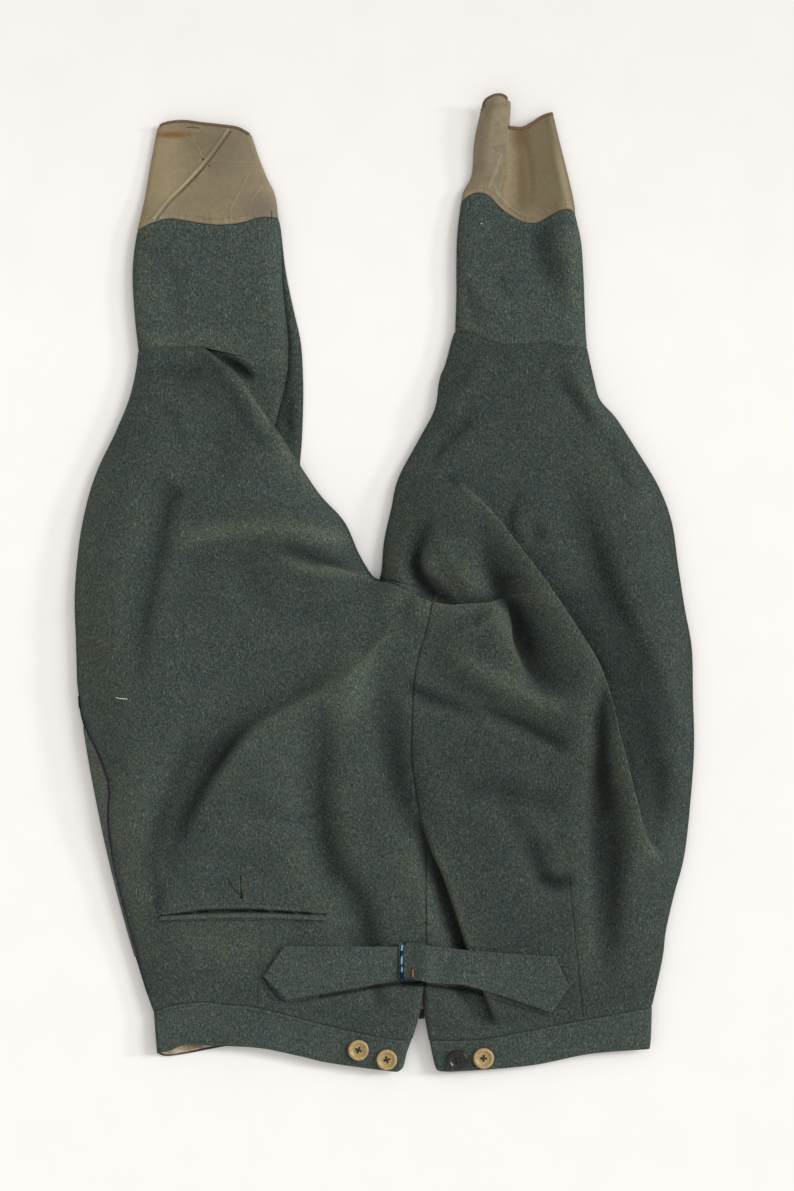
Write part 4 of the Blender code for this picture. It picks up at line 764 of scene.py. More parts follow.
def seam_relief(x, y):
    """Height that the seams take away in their grooves and add over the cloth turned under beside them, and
    the painted shade in the grooves."""
    relief, dark = np.zeros(x.shape), np.zeros(x.shape)
    for seam in SEAMS:
        line = seam_line(seam, HEIGHT_SPAN)
        reach = seam.width + ALLOWANCE_FADE + TAIL * seam.half
        low, high = line.min(axis=0) - reach, line.max(axis=0) + reach
        near = (x > low[0]) & (x < high[0]) & (y > low[1]) & (y < high[1])
        if not near.any():
            continue
        gap, side, run, _ = nearest(np.column_stack([line, lengths_along(line)]), x[near], y[near])
        turn = run * 2 * math.pi / PUCKER_LENGTH
        wander = PUCKER_WANDER * np.sin(PUCKER_WANDER_RATE * turn)
        pucker = 1 + PUCKER_SHARE * np.sin(turn + wander + PUCKER_SIDE * side)
        turned_under = seam.allowance * pucker * (1 - ease((gap - seam.width) / ALLOWANCE_FADE))
        groove = np.exp(-(gap / seam.half) ** 2)
        relief[near] += turned_under - (seam.depth + turned_under) * groove
        # Painted shade in the groove, or painted light along a crease that stands up
        dark[near] += min(seam.depth, GROOVE_SHADE) * groove
    return relief, dark


def ease(t):
    """Rise from 0 to 1 that starts at a slope and ends level."""
    return 1 - (1 - np.clip(t, 0, 1)) ** EASE_POWER


def soft_step(t):
    """Rise from 0 to 1 that starts and ends level."""
    t = np.clip(t, 0, 1)
    return t * t * (3 - 2 * t)


def level_at(y, column):
    """One column of the level table, read as a smooth curve at each y."""
    knots = np.array([(level.y, getattr(level, column)) for level in LEVELS], float)
    line = smooth_line(knots, LEVEL_SPAN)[::-1]
    return np.interp(y, line[:, 0], line[:, 1])


def roll(gap):
    """The tight turn at a free edge."""
    return ROLL_HEIGHT * np.sqrt(1 - (1 - np.clip(gap / ROLL_RUN, 0, 1)) ** 2)


def thigh_height(x, y, folds=None):
    """Outer face of the seat, thighs and back waistband, with all folds and seams or with some folds only."""
    gap = distance_to(UPPER_EDGES, x, y)
    rim = np.minimum(gap, distance_to(WAIST_EDGES, x, y))
    tube_gap = distance_to(TUBE_EDGES, x, y)
    edge = level_at(y, "edge")
    height = edge + roll(rim) + level_at(y, "puff") * ease(tube_gap / PUFF_RUN)
    height += level_at(y, "loft") * ease(gap / LOFT_RUN) + folds_height(LAPS, x, y)
    fade = ease(gap / FOLD_FADE)
    if folds is None:
        height += folds_height(FOLDS, x, y) * fade + folds_height(CREASES, x, y) * ease(gap / CREASE_FADE)
        height = np.maximum(height, edge + ease(rim / ROLL_RUN)) + seam_relief(x, y)[0]
    else:
        height += folds_height(folds, x, y) * fade
    return np.maximum(height, edge - SEAM_SINK)


def leg_height(x, y):
    """Outer face of the lower legs and leg ends."""
    gap = distance_to(LEG_EDGES, x, y)
    edge = level_at(y, "edge")
    height = edge + roll(gap) + level_at(y, "puff") * ease(gap / PUFF_RUN)
    height += folds_height(FOLDS, x, y) * ease(gap / FOLD_FADE)
    height += folds_height(CREASES, x, y) * ease(gap / CREASE_FADE) + seam_relief(x, y)[0]
    return np.maximum(height, edge - SEAM_SINK)


def tab_height(x, y):
    """The curled tab, which lies just over the sunk wall beside it."""
    over = distance_to(["left_tab_side"], x, y)
    return leg_height(x, y) + TAB_LIFT * np.exp(-(over / TAB_LIFT_RUN) ** 2)


def knee_fold_height(x, y):
    """Outer face of the cloth folded under the diagonal fold, lowest where it runs in under it."""
    gap = distance_to(["knee_fold_inner"], x, y)
    seam = distance_to(["right_knee_inner"], x, y)
    edge = level_at(y, "edge")
    from_fold, side, _, _ = nearest(smooth_line(LINES["right_fold_edge"], HEIGHT_SPAN), x, y)
    clear = np.where(side > 0, from_fold, 0)
    puff = KNEE_FOLD_PUFF * ease(gap / PUFF_RUN) * soft_step(clear / KNEE_FOLD_RUN)
    low = edge + roll(gap) * KNEE_FOLD_ROLL + puff + folds_height(CREASES, x, y)
    low = np.maximum(low, edge - SEAM_SINK)
    share = np.exp(-(seam / KNEE_JOIN_RUN) ** 2) * soft_step((clear - KNEE_JOIN[0]) / KNEE_JOIN[1])
    return low + (np.maximum(leg_height(x, y), low) - low) * share


def strap_height(x, y):
    """The cinch bridges the valleys and rides over everything that stands up."""
    ridges = [fold for fold in FOLDS if max(point[2] for point in fold.line) > 0]
    arch = STRAP_ARCH * np.exp(-((x - BUCKLE_LEFT) / STRAP_ARCH_RUN) ** 2)
    return thigh_height(x, y, ridges) + GAP + STRAP_LIFT + STRAP_WALL + arch


# Finishes

def linear(code):
    """An sRGB hex colour as the linear colour that Blender's shaders take."""
    parts = [int(code[k:k + 2], 16) / 255 for k in (1, 3, 5)]
    return tuple(c / 12.92 if c <= 0.04045 else ((c + 0.055) / 1.055) ** 2.4 for c in parts) + (1.0,)


def feed(tree, node, inputs):
    """Give a node its inputs: each is a value or another node's output."""
    for name, value in inputs.items():
        if isinstance(value, bpy.types.NodeSocket):
            tree.links.new(value, node.inputs[name])
        else:
            node.inputs[name].default_value = value


def add_node(tree, kind, inputs=None, output=0, **settings):
    """One shader node with its settings and links."""
    made = tree.nodes.new("ShaderNode" + kind)
    for name, value in settings.items():
        setattr(made, name, value)
    feed(tree, made, inputs or {})
    return made.outputs[output]


def new_finish(name):
    """An empty material, the call that adds a node to it, and the place on the cloth in millimetres."""
    made = bpy.data.materials.new(name)
    made.use_nodes = True
    add = partial(add_node, made.node_tree)
    in_mm = add("VectorMath", {0: add("TexCoord", output=3), "Scale": 1000.0}, operation="SCALE")
    return made, add, in_mm


def finished(made, inputs):
    """The material with the inputs of its Principled shader."""
    feed(made.node_tree, made.node_tree.nodes["Principled BSDF"], inputs)
    return made


def fulled_wool(name, grain, tone):
    """Fulled wool twill, dyed grey green from mixed fibres. Fulling closes the weave, so the eye sees a
    matt felted face with slanted hairs of lighter and browner wool, and only a hint of the twill. The
    grain is the slant of the hairs in degrees."""
    made, add, place = new_finish(name)
    # Yarns are 0.6 mm apart on the real cloth; the hairs over them are drawn about 1 mm wide to show
    slanted = add("Mapping", {"Vector": place, "Rotation": (0, 0, math.radians(grain)),
            "Scale": (1.0, 0.42, 1.0)})
    hairs = add("TexNoise", {"Vector": slanted, "Scale": 1 / 0.95, "Detail": 2.0, "Roughness": 0.6})
    lumps = add("TexNoise", {"Vector": place, "Scale": 1 / 1.7, "Detail": 2.0, "Roughness": 0.6})
    specks = add("TexNoise", {"Vector": slanted, "Scale": 1 / 1.1, "Detail": 1.0})
    clouds = add("TexNoise", {"Vector": place, "Scale": 1 / 14, "Detail": 4.0,
            "Roughness": 0.6, "Distortion": 0.4})
    patches = add("TexNoise", {"Vector": place, "Scale": 1 / 55, "Detail": 3.0, "Roughness": 0.6})
    face = add("Math", {0: hairs, 1: lumps}, operation="ADD")
    face = add("MapRange", {"Value": face, "From Min": 0.77, "From Max": 1.23})
    hue = add("MapRange", {"Value": clouds, "From Min": 0.34, "From Max": 0.66})
    dark = add("MixRGB", {"Fac": hue, "Color1": linear("#283231"), "Color2": linear("#2c332d")})
    light = add("MixRGB", {"Fac": hue, "Color1": linear("#45504d"), "Color2": linear("#4a5049")})
    colour = add("MixRGB", {"Fac": face, "Color1": dark, "Color2": light})
    pale = add("MapRange", {"Value": specks, "From Min": 0.60, "From Max": 0.74, "To Max": 0.45})
    colour = add("MixRGB", {"Fac": pale, "Color1": colour, "Color2": linear("#727a70")})
    brown = add("MapRange", {"Value": specks, "From Min": 0.38, "From Max": 0.29, "To Max": 0.3})
    colour = add("MixRGB", {"Fac": brown, "Color1": colour, "Color2": linear("#1f211a")})
    # Paler, browner wool on the crests is partly wear and partly painted light, and the darker hollows,
    # creases, seam grooves and places under folds are painted shade
    dirt_wear_and_painted_light = add("Attribute", output=2, attribute_name="dirt_wear_and_painted_light")
    shade = add("MapRange", {"Value": dirt_wear_and_painted_light, "From Min": WEAR_AND_LIGHT_LOW, "From Max": WEAR_AND_LIGHT_HIGH,
            "To Min": 0.34 * tone, "To Max": 1.5 * tone})
    worn = add("MixRGB", {"Fac": dirt_wear_and_painted_light, "Color1": linear("#ffffff"), "Color2": linear("#fffaf0")})
    colour = add("MixRGB", {"Fac": 1.0, "Color1": colour, "Color2": worn}, blend_type="MULTIPLY")
    cloudy = add("MapRange", {"Value": patches, "From Min": 0.36, "From Max": 0.64,
            "To Min": 1.07, "To Max": 0.93})
    mottled = add("MapRange", {"Value": clouds, "From Min": 0.34, "From Max": 0.66,
            "To Min": 0.96, "To Max": 1.04})
    cloudy = add("Math", {0: cloudy, 1: mottled}, operation="MULTIPLY")
    shade = add("Math", {0: shade, 1: cloudy}, operation="MULTIPLY")
    colour = add("VectorMath", {0: colour, "Scale": shade}, operation="SCALE")
    bump = add("Bump", {"Height": face, "Strength": 0.6, "Distance": 0.0008})
    return finished(made, {"Base Color": colour, "Roughness": 0.94,
            "Specular IOR Level": 0.15, "Sheen Weight": 0.32, "Sheen Roughness": 0.42,
            "Sheen Tint": linear("#8e9c96"), "Normal": bump})


def worn_linen(name, light_code, dark_code, stains=()):
    """Plain-woven linen drill, dyed khaki. Its round slubby threads leave a fine grid of light and dark,
    and wear gives it yellow and grey clouds. Each stain has a centre, a size, a colour and a strength."""
    made, add, place = new_finish(name)
    # Threads are 0.5 mm apart on the real cloth and are drawn about 1 mm wide to show
    along = add("Mapping", {"Vector": place, "Rotation": (0, 0, 0.1), "Scale": (1.0, 0.14, 1.0)})
    across = add("Mapping", {"Vector": place, "Rotation": (0, 0, 0.1), "Scale": (0.14, 1.0, 1.0)})
    warp = add("TexNoise", {"Vector": along, "Scale": 1.15, "Detail": 2.0, "Roughness": 0.6})
    weft = add("TexNoise", {"Vector": across, "Scale": 1.1, "Detail": 2.0, "Roughness": 0.6})
    weave = add("Math", {0: warp, 1: weft}, operation="ADD")
    clouds = add("TexNoise", {"Vector": place, "Scale": 1 / 20, "Detail": 4.0,
            "Roughness": 0.65, "Distortion": 0.6})
    soil = add("TexNoise", {"Vector": place, "Scale": 1 / 6, "Detail": 4.0, "Roughness": 0.65})
    face = add("MapRange", {"Value": weave, "From Min": 0.45, "From Max": 1.55})
    colour = add("MixRGB", {"Fac": face, "Color1": linear(dark_code), "Color2": linear(light_code)})
    greyer = add("MapRange", {"Value": clouds, "From Min": 0.40, "From Max": 0.62, "To Max": 0.5})
    colour = add("MixRGB", {"Fac": greyer, "Color1": colour, "Color2": linear("#6f6450")})
    soiled = add("MapRange", {"Value": soil, "From Min": 0.54, "From Max": 0.70, "To Max": 0.35})
    colour = add("MixRGB", {"Fac": soiled, "Color1": colour, "Color2": linear("#5b4f3c")})
    # Crests painted paler, partly wear and partly painted light, and hollows darker with painted shade
    dirt_wear_and_painted_light = add("Attribute", output=2, attribute_name="dirt_wear_and_painted_light")
    worn = add("MapRange", {"Value": dirt_wear_and_painted_light, "From Min": 0.1, "From Max": 1.1, "To Max": 0.55})
    colour = add("MixRGB", {"Fac": worn, "Color1": colour, "Color2": linear("#b6aa8c")})
    hollow_shade = add("MapRange", {"Value": dirt_wear_and_painted_light, "From Min": -0.15, "From Max": -1.5, "To Max": 0.75})
    colour = add("MixRGB", {"Fac": hollow_shade, "Color1": colour, "Color2": linear("#3c3324")})
    ragged = add("TexNoise", {"Vector": place, "Scale": 0.3, "Detail": 4.0, "Roughness": 0.65})
    for centre, size, code, strength in stains:
        offset = add("VectorMath", {0: place, 1: (*centre, 0)}, operation="SUBTRACT")
        scaled = add("VectorMath", {0: offset, 1: (1 / size[0], 1 / size[1], 0)}, operation="MULTIPLY")
        reach = add("VectorMath", {0: scaled}, output=1, operation="LENGTH")
        border = add("Math", {0: reach, 1: ragged}, operation="ADD")
        share = add("MapRange", {"Value": border, "From Min": 1.7, "From Max": 0.85, "To Max": strength})
        colour = add("MixRGB", {"Fac": share, "Color1": colour, "Color2": linear(code)})
    bump = add("Bump", {"Height": face, "Strength": 0.4, "Distance": 0.0005})
    return finished(made, {"Base Color": colour, "Roughness": 0.88,
            "Specular IOR Level": 0.25, "Sheen Weight": 0.12, "Sheen Roughness": 0.4, "Normal": bump})


def cotton_lining(name):
    """Pale cotton sateen lining with brown stains, smooth and faintly shiny beside the wool."""
    made, add, place = new_finish(name)
    along = add("Mapping", {"Vector": place, "Scale": (0.2, 1.0, 1.0)})
    threads = add("TexNoise", {"Vector": along, "Scale": 1.2, "Detail": 2.0, "Roughness": 0.6})
    soil = add("TexNoise", {"Vector": place, "Scale": 1 / 9, "Detail": 4.0,
            "Roughness": 0.62, "Distortion": 0.5})
    face = add("MapRange", {"Value": threads, "From Min": 0.3, "From Max": 0.7})
    colour = add("MixRGB", {"Fac": face, "Color1": linear("#a29075"), "Color2": linear("#bcae98")})
    soiled = add("MapRange", {"Value": soil, "From Min": 0.46, "From Max": 0.64, "To Max": 0.85})
    colour = add("MixRGB", {"Fac": soiled, "Color1": colour, "Color2": linear("#7c5f42")})
    bump = add("Bump", {"Height": threads, "Strength": 0.25, "Distance": 0.0005})
    return finished(made, {"Base Color": colour, "Roughness": 0.6, "Sheen Weight": 0.1, "Normal": bump})


def dyed_cord(name, light_code, dark_code):
    """Twisted yarn, as sewing thread, braid and piping: ply lines over 1 mm apart carry a painted highlight
    along them.
    """
    made, add, place = new_finish(name)
    ply = add("TexWave", {"Vector": place, "Scale": 0.32, "Distortion": 2.0, "Detail": 2.0,
            "Detail Scale": 1.5}, output=1, bands_direction="DIAGONAL")
    fuzz = add("TexNoise", {"Vector": place, "Scale": 0.8, "Detail": 3.0, "Roughness": 0.6})
    face = add("Math", {0: ply, 1: fuzz}, operation="MULTIPLY")
    face = add("MapRange", {"Value": face, "From Min": 0.05, "From Max": 0.55})
    colour = add("MixRGB", {"Fac": face, "Color1": linear(dark_code), "Color2": linear(light_code)})
    bump = add("Bump", {"Height": face, "Strength": 0.4, "Distance": 0.0004})
    return finished(made, {"Base Color": colour, "Roughness": 0.85, "Specular IOR Level": 0.25,
            "Normal": bump})


def turned_button(name, light_code, dark_code, rough):
    """Corozo nut or horn turned on a lathe: fine growth lines, a waxy half-shine and dirt in the dish."""
    made, add, place = new_finish(name)
    grain = add("TexNoise", {"Vector": place, "Scale": 0.45, "Detail": 4.0, "Roughness": 0.6,
            "Distortion": 0.8})
    fine = add("TexNoise", {"Vector": place, "Scale": 2.0, "Detail": 2.0})
    face = add("MapRange", {"Value": grain, "From Min": 0.35, "From Max": 0.65})
    colour = add("MixRGB", {"Fac": face, "Color1": linear(dark_code), "Color2": linear(light_code)})
    dirt = add("Attribute", output=2, attribute_name="dirt_wear_and_painted_light")
    dirty = add("MapRange", {"Value": dirt, "From Min": 0.0, "From Max": 1.0, "To Max": 0.4})
    colour = add("MixRGB", {"Fac": dirty, "Color1": colour, "Color2": linear("#2b2417")})
    gloss = add("MapRange", {"Value": fine, "From Min": 0.3, "From Max": 0.7,
            "To Min": rough - 0.06, "To Max": rough + 0.1})
    bump = add("Bump", {"Height": grain, "Strength": 0.15, "Distance": 0.0003})
    return finished(made, {"Base Color": colour, "Roughness": gloss, "IOR": 1.53, "Normal": bump})


def blued_steel(name):
    """Steel wire blued by heat: a navy to black oxide film with a painted highlight of bright blue along the
    top of the wire, and grey steel rubbed through in places."""
    made, add, place = new_finish(name)
    film = add("TexNoise", {"Vector": place, "Scale": 0.14, "Detail": 1.0, "Distortion": 0.6})
    worn = add("TexNoise", {"Vector": place, "Scale": 0.7, "Detail": 3.0, "Roughness": 0.6})
    face = add("MapRange", {"Value": film, "From Min": 0.5, "From Max": 0.62})
    colour = add("MixRGB", {"Fac": face, "Color1": linear("#070a12"), "Color2": linear("#101d3a")})
    # The painted highlight along the top of the wire
    bright = add("MixRGB", {"Fac": face, "Color1": linear("#16335e"), "Color2": linear("#a4cfee")})
    dirt_wear_and_painted_light = add("Attribute", output=2, attribute_name="dirt_wear_and_painted_light")
    colour = add("MixRGB", {"Fac": dirt_wear_and_painted_light, "Color1": colour, "Color2": bright})
    bare = add("MapRange", {"Value": worn, "From Min": 0.64, "From Max": 0.72, "To Max": 0.5})
    colour = add("MixRGB", {"Fac": bare, "Color1": colour, "Color2": linear("#b4c1cd")})
    gloss = add("MapRange", {"Value": worn, "From Min": 0.3, "From Max": 0.7, "To Min": 0.18,
            "To Max": 0.36})
    bump = add("Bump", {"Height": film, "Strength": 0.5, "Distance": 0.0008})
    return finished(made, {"Base Color": colour, "Metallic": 0.9, "Roughness": gloss, "Normal": bump})


def copper_plate(name):
    """Copper showing through worn plating on the prong's tip, rubbed bright."""
    made, add, place = new_finish(name)
    worn = add("TexNoise", {"Vector": place, "Scale": 0.9, "Detail": 3.0, "Roughness": 0.6})
    face = add("MapRange", {"Value": worn, "From Min": 0.35, "From Max": 0.65})
    colour = add("MixRGB", {"Fac": face, "Color1": linear("#8a4a2c"), "Color2": linear("#e0a074")})
    gloss = add("MapRange", {"Value": worn, "From Min": 0.3, "From Max": 0.7, "To Min": 0.25,
            "To Max": 0.42})
    return finished(made, {"Base Color": colour, "Metallic": 1.0, "Roughness": gloss})


def paper_sweep(name):
    """Matt white paper sweep, with painted shade that greys it a little beyond the leg ends."""
    made, add, place = new_finish(name)
    tooth = add("TexNoise", {"Vector": place, "Scale": 0.02, "Detail": 2.0})
    face = add("MapRange", {"Value": tooth, "From Min": 0.3, "From Max": 0.7})
    colour = add("MixRGB", {"Fac": face, "Color1": linear("#f6f4f2"), "Color2": linear("#f8f6f4")})
    # Painted shade, darker towards the far end of the paper
    far = add("SeparateXYZ", {0: place}, output=1)
    painted_dimming = add("MapRange", {"Value": far, "From Min": 200.0, "From Max": 520.0, "To Min": 1.0,
            "To Max": 0.92})
    colour = add("VectorMath", {0: colour, "Scale": painted_dimming}, operation="SCALE")
    return finished(made, {"Base Color": colour, "Roughness": 0.9, "Specular IOR Level": 0.0})


# One wool, cut and laid in different directions, lighter or darker from piece to piece
WOOL_RIGHT = fulled_wool("fulled_wool_right_seat", 24, 1.0)
WOOL_LEFT = fulled_wool("fulled_wool_left_seat", 10, 0.92)
WOOL_CALF = fulled_wool("fulled_wool_lower_leg", 14, 1.17)
WOOL_BAND = fulled_wool("fulled_wool_waistband", 70, 1.18)
WOOL_STRAP = fulled_wool("fulled_wool_cinch", 80, 1.23)
WOOL_FRONT = fulled_wool("fulled_wool_front_side", 30, 1.25)
WOOL_UNDER = fulled_wool("fulled_wool_lower_layer", 20, 0.95)

LINEN_SUNK = worn_linen("worn_linen_sunk_wall", "#786c51", "#62573f",
                        [((101.5, 340), (12, 85), "#8c7d62", 0.95), ((118.5, 350), (6, 60), "#64573c", 0.6),
                         ((118, 310), (26, 11), "#7b6f5a", 0.6), ((115, 380), (9, 13), "#5f4a2b", 0.6)])
LINEN_TAB = worn_linen("worn_linen_tab", "#938670", "#7c7059")
LINEN_RIGHT = worn_linen("worn_linen_right", "#93856a", "#776b53",
                         [((-192, 352), (24, 50), "#998b69", 0.55), ((-138, 369), (30, 24), "#6e6450", 0.75),
                          ((-118, 350), (22, 30), "#807663", 0.5), ((-104, 316), (20, 16), "#70675a", 0.8),
                          ((-176, 318), (30, 12), "#7b7160", 0.5), ((-179, 381), (19, 3.2), "#7a5629", 0.9)])
LINEN_INSIDE = worn_linen("worn_linen_lower_wall", "#8c7d5a", "#665a42")
COTTON = cotton_lining("cotton_sateen_lining")
BINDING_BROWN = dyed_cord("cotton_binding_brown", "#7e6a55", "#5c4a3a")
BINDING_RED = dyed_cord("cotton_binding_red_brown", "#7b6050", "#553f33")
PURPLE_PIPING = dyed_cord("purple_wool_piping", "#3c2440", "#1c0e20")
DARK_THREAD = dyed_cord("dark_sewing_thread", "#3b4440", "#20261f")
KHAKI_THREAD = dyed_cord("khaki_sewing_thread", "#a8987a", "#5d5139")
PALE_THREAD = dyed_cord("pale_sewing_thread", "#a89f8c", "#6a604c")
WHITE_THREAD = dyed_cord("white_lint", "#efeee9", "#bcbab2")
TAN_COROZO = turned_button("tan_corozo", "#ba9d69", "#988051", 0.36)
BLACK_HORN = turned_button("black_horn", "#0d0d0c", "#060605", 0.3)
BLUED = blued_steel("blued_steel_wire")
COPPER = copper_plate("worn_copper_plate")
PAPER = paper_sweep("white_paper")


# Cloth as meshes

def on_cloth(height, plan):
    """Points of the plan set on a height field, with the lean of its folds. The cinch bridges them."""
    x, y = plan[..., 0], plan[..., 1]
    shift = lean_shift(x, y) * (height is not strap_height)
    return np.stack([x + shift[..., 0], y + shift[..., 1], height(x, y)], axis=-1)


def under_face(outer, wall):
    """The inside of the cloth: one wall in from the face, and straight down along the sides of the piece."""
    rows, columns = outer.shape[:2]
    normal = np.cross(np.gradient(outer, axis=0), np.gradient(outer, axis=1))
    normal /= np.linalg.norm(normal, axis=2)[..., None] + TINY
    normal *= np.sign(np.mean(normal[..., 2]))
    down = np.minimum(np.arange(rows), np.arange(rows)[::-1])[:, None]
    along = np.minimum(np.arange(columns), np.arange(columns)[::-1])[None, :]
    share = np.clip(np.minimum(down, along) / SIDE_CELLS, 0, 1)[..., None]
    way = normal * share + np.array([0, 0, 1.0]) * (1 - share)
    way /= np.linalg.norm(way, axis=2)[..., None]
    return outer - way * wall


def crest_of(points, reach):
    """How far each point of a grid stands above the mean of the cloth within that many cells of it."""
    padded = np.pad(points[..., 2], reach, mode="edge")
    width = 2 * reach + 1
    summed = np.cumsum(np.cumsum(np.pad(padded, ((1, 0), (1, 0))), axis=0), axis=1)
    total = summed[width:, width:] - summed[:-width, width:] - summed[width:, :-width]
    return points[..., 2] - (total + summed[:-width, :-width]) / width ** 2


def border_of(rows, columns):
    """Grid places round a piece in order, with the side that each belongs to."""
    ring = [(0, j, 0) for j in range(columns - 1)] + [(i, columns - 1, 3) for i in range(rows - 1)]
    ring += [(rows - 1, j, 1) for j in range(columns - 1, 0, -1)]
    return ring + [(i, 0, 2) for i in range(rows - 1, 0, -1)]


def bulge_of(here, below, turn):
    """The middle of the rim between two closed runs of points, pushed outwards by each point's turn."""
    ahead = np.roll(here, -1, axis=0) - np.roll(here, 1, axis=0)
    outward = np.column_stack([ahead[:, 1], -ahead[:, 0]])
    outward /= np.linalg.norm(outward, axis=1)[:, None] + TINY
    area = np.sum(here[:, 0] * np.roll(here[:, 1], -1) - here[:, 1] * np.roll(here[:, 0], -1))
    middle = (here + below) / 2
    middle[:, :2] += outward * turn[:, None] * np.sign(area)
    return middle


def put_in_scene(name, data, finish=None):
    """A new object in the scene, with its finish if it has one."""
    if finish:
        data.materials.append(finish)
    made = bpy.data.objects.new(name, data)
    bpy.context.scene.collection.objects.link(made)
    return made


def new_mesh(name, points, faces, dirt_wear_and_painted_light):
    """A mesh from points in millimetres and faces, with each point's wear, dirt or painted light and shade.
    """
    mesh = bpy.data.meshes.new(name)
    mesh.from_pydata((np.asarray(points) * MM).tolist(), [], faces)
    mesh.attributes.new("dirt_wear_and_painted_light", "FLOAT", "POINT").data.foreach_set("value", dirt_wear_and_painted_light)
    return mesh


def shell(name, plan, outer, inner, finish, turned_sides):
    """A closed wall between two grids of points, which bulges out at the sides that have a turn. It keeps
    each point's place in plan, so that the face can be set on its height again when it is cut finer, and
    marks the outer face with 1 and the rest with 0."""
    rows, columns = outer.shape[:2]
    first = rows * columns
    top = np.arange(first).reshape(rows, columns)
    low = top + first
    faces = np.concatenate([
        np.stack([top[:-1, :-1], top[1:, :-1], top[1:, 1:], top[:-1, 1:]], axis=-1).reshape(-1, 4),
        np.stack([low[:-1, :-1], low[:-1, 1:], low[1:, 1:], low[1:, :-1]], axis=-1).reshape(-1, 4)]).tolist()
    ring = border_of(rows, columns)
    here = np.array([outer[i, j] for i, j, _ in ring])
    below = np.array([inner[i, j] for i, j, _ in ring])
    middle = bulge_of(here, below, np.array([turned_sides[side] for _, _, side in ring], float))
    for k, (i, j, _) in enumerate(ring):
        after = (k + 1) % len(ring)
        m, n, _ = ring[after]
        faces.append((int(top[i, j]), int(top[m, n]), 2 * first + after, 2 * first + k))
        faces.append((2 * first + k, 2 * first + after, int(low[m, n]), int(low[i, j])))
    points = np.concatenate([outer.reshape(-1, 3), inner.reshape(-1, 3), middle])
    # Painted light on crests and rims and painted shade in hollows, from the curve of the face and the table,
    # with some wear
    shares = [crest_of(outer, cells) / height for cells, height in WEAR_AND_LIGHT_RUNS]
    worn = np.sum(shares, axis=0) * WEAR_AND_LIGHT_SHARE + folds_height(WEAR_AND_PAINTED_LIGHT, plan[..., 0], plan[..., 1])
    dirt_wear_and_painted_light = np.zeros(len(points), np.float32)
    dirt_wear_and_painted_light[:first] = np.clip(worn, WEAR_AND_LIGHT_LOW, WEAR_AND_LIGHT_HIGH).reshape(-1)
    places = np.zeros((len(points), 3), np.float32)
    places[:first, :2] = plan.reshape(-1, 2)
    places[:first, 2] = 1
    mesh = new_mesh(name, points, faces, dirt_wear_and_painted_light)
    mesh.attributes.new("plan", "FLOAT_VECTOR", "POINT").data.foreach_set("vector", places.reshape(-1))
    return put_in_scene(name, mesh, finish)


def seam_distance(x, y):
    """Distance in plan from each point to the nearest seam."""
    return np.min([nearest(seam_line(seam, CELL_SPAN), x, y)[0] for seam in SEAMS], axis=0)


def fold_distance(x, y):
    """Distance in plan from each point to the nearest fold that hangs over."""
    lines = [smooth_line(np.array(fold.line)[:, :2], CELL_SPAN) for fold in FOLDS if fold.lean]
    return np.min([nearest(line, x, y)[0] for line in lines], axis=0)


def cut_finer(piece, height):
    """Halve the cells of the outer face near folds and seams, and set it on its height again."""
    cuts = [(fold_distance, FOLD_REACH), (seam_distance, SEAM_REACH[0]), (seam_distance, SEAM_REACH[1])]
    made = bmesh.new()
    made.from_mesh(piece.data)
    plan = made.verts.layers.float_vector["plan"]
    dirt_wear_and_painted_light = made.verts.layers.float["dirt_wear_and_painted_light"]
    for distance, reach in cuts:
        places = np.array([vert[plan] for vert in made.verts])
        near = (distance(places[:, 0], places[:, 1]) < reach) & (places[:, 2] > ON_FACE)
        edges = [edge for edge in made.edges
                 if near[edge.verts[0].index] and near[edge.verts[1].index]]
        if edges:
            bmesh.ops.subdivide_edges(made, edges=edges, cuts=1, use_grid_fill=True)
            made.verts.index_update()
    places = np.array([vert[plan] for vert in made.verts])
    face = np.flatnonzero(places[:, 2] > ON_FACE)
    points = on_cloth(height, places[face, :2]) * MM
    # Painted shade in the seams' grooves is taken off the attribute
    soil = seam_relief(places[face, 0], places[face, 1])[1]
    made.verts.ensure_lookup_table()
    for index, point, dark in zip(face.tolist(), points.tolist(), soil.tolist()):
        made.verts[index].co = point
        made.verts[index][dirt_wear_and_painted_light] = min(max(WEAR_AND_LIGHT_LOW, made.verts[index][dirt_wear_and_painted_light] - dark), WEAR_AND_LIGHT_HIGH)
    made.to_mesh(piece.data)
    made.free()


def close_up(piece):
    """Turn every face outwards and shade the piece smooth."""
    made = bmesh.new()
    made.from_mesh(piece.data)
    bmesh.ops.recalc_face_normals(made, faces=made.faces)
    made.to_mesh(piece.data)
    made.free()
    piece.data.shade_smooth()


def fit(piece, node=None):
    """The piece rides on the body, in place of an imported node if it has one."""
    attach(piece, "root")
    if node:
        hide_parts(node)


def fit_sheet(piece, node):
    """The piece takes the place of its node."""
    close_up(piece)
    fit(piece, node)


def cloth(node, grid, height, wall, finish, turned_sides, finer=False):
    """A piece of cloth on a height field."""
    outer = on_cloth(height, grid)
    piece = shell(node + "_cloth", grid, outer, under_face(outer, wall), finish, turned_sides)
    if finer:
        cut_finer(piece, height)
    fit_sheet(piece, node)


def flat_cloth(node, grid, wall, finish, turn, rise=0.0):
    """A piece of the lower layer, flat on the surface, which may rise where it shows beside the leg."""
    outer = np.dstack([grid, wall + rise + np.zeros(grid.shape[:2])])
    inner = np.dstack([grid, np.zeros(grid.shape[:2])])
    piece = shell(node + "_cloth", grid, outer, inner, finish, [turn] * 4)
    fit_sheet(piece, node)


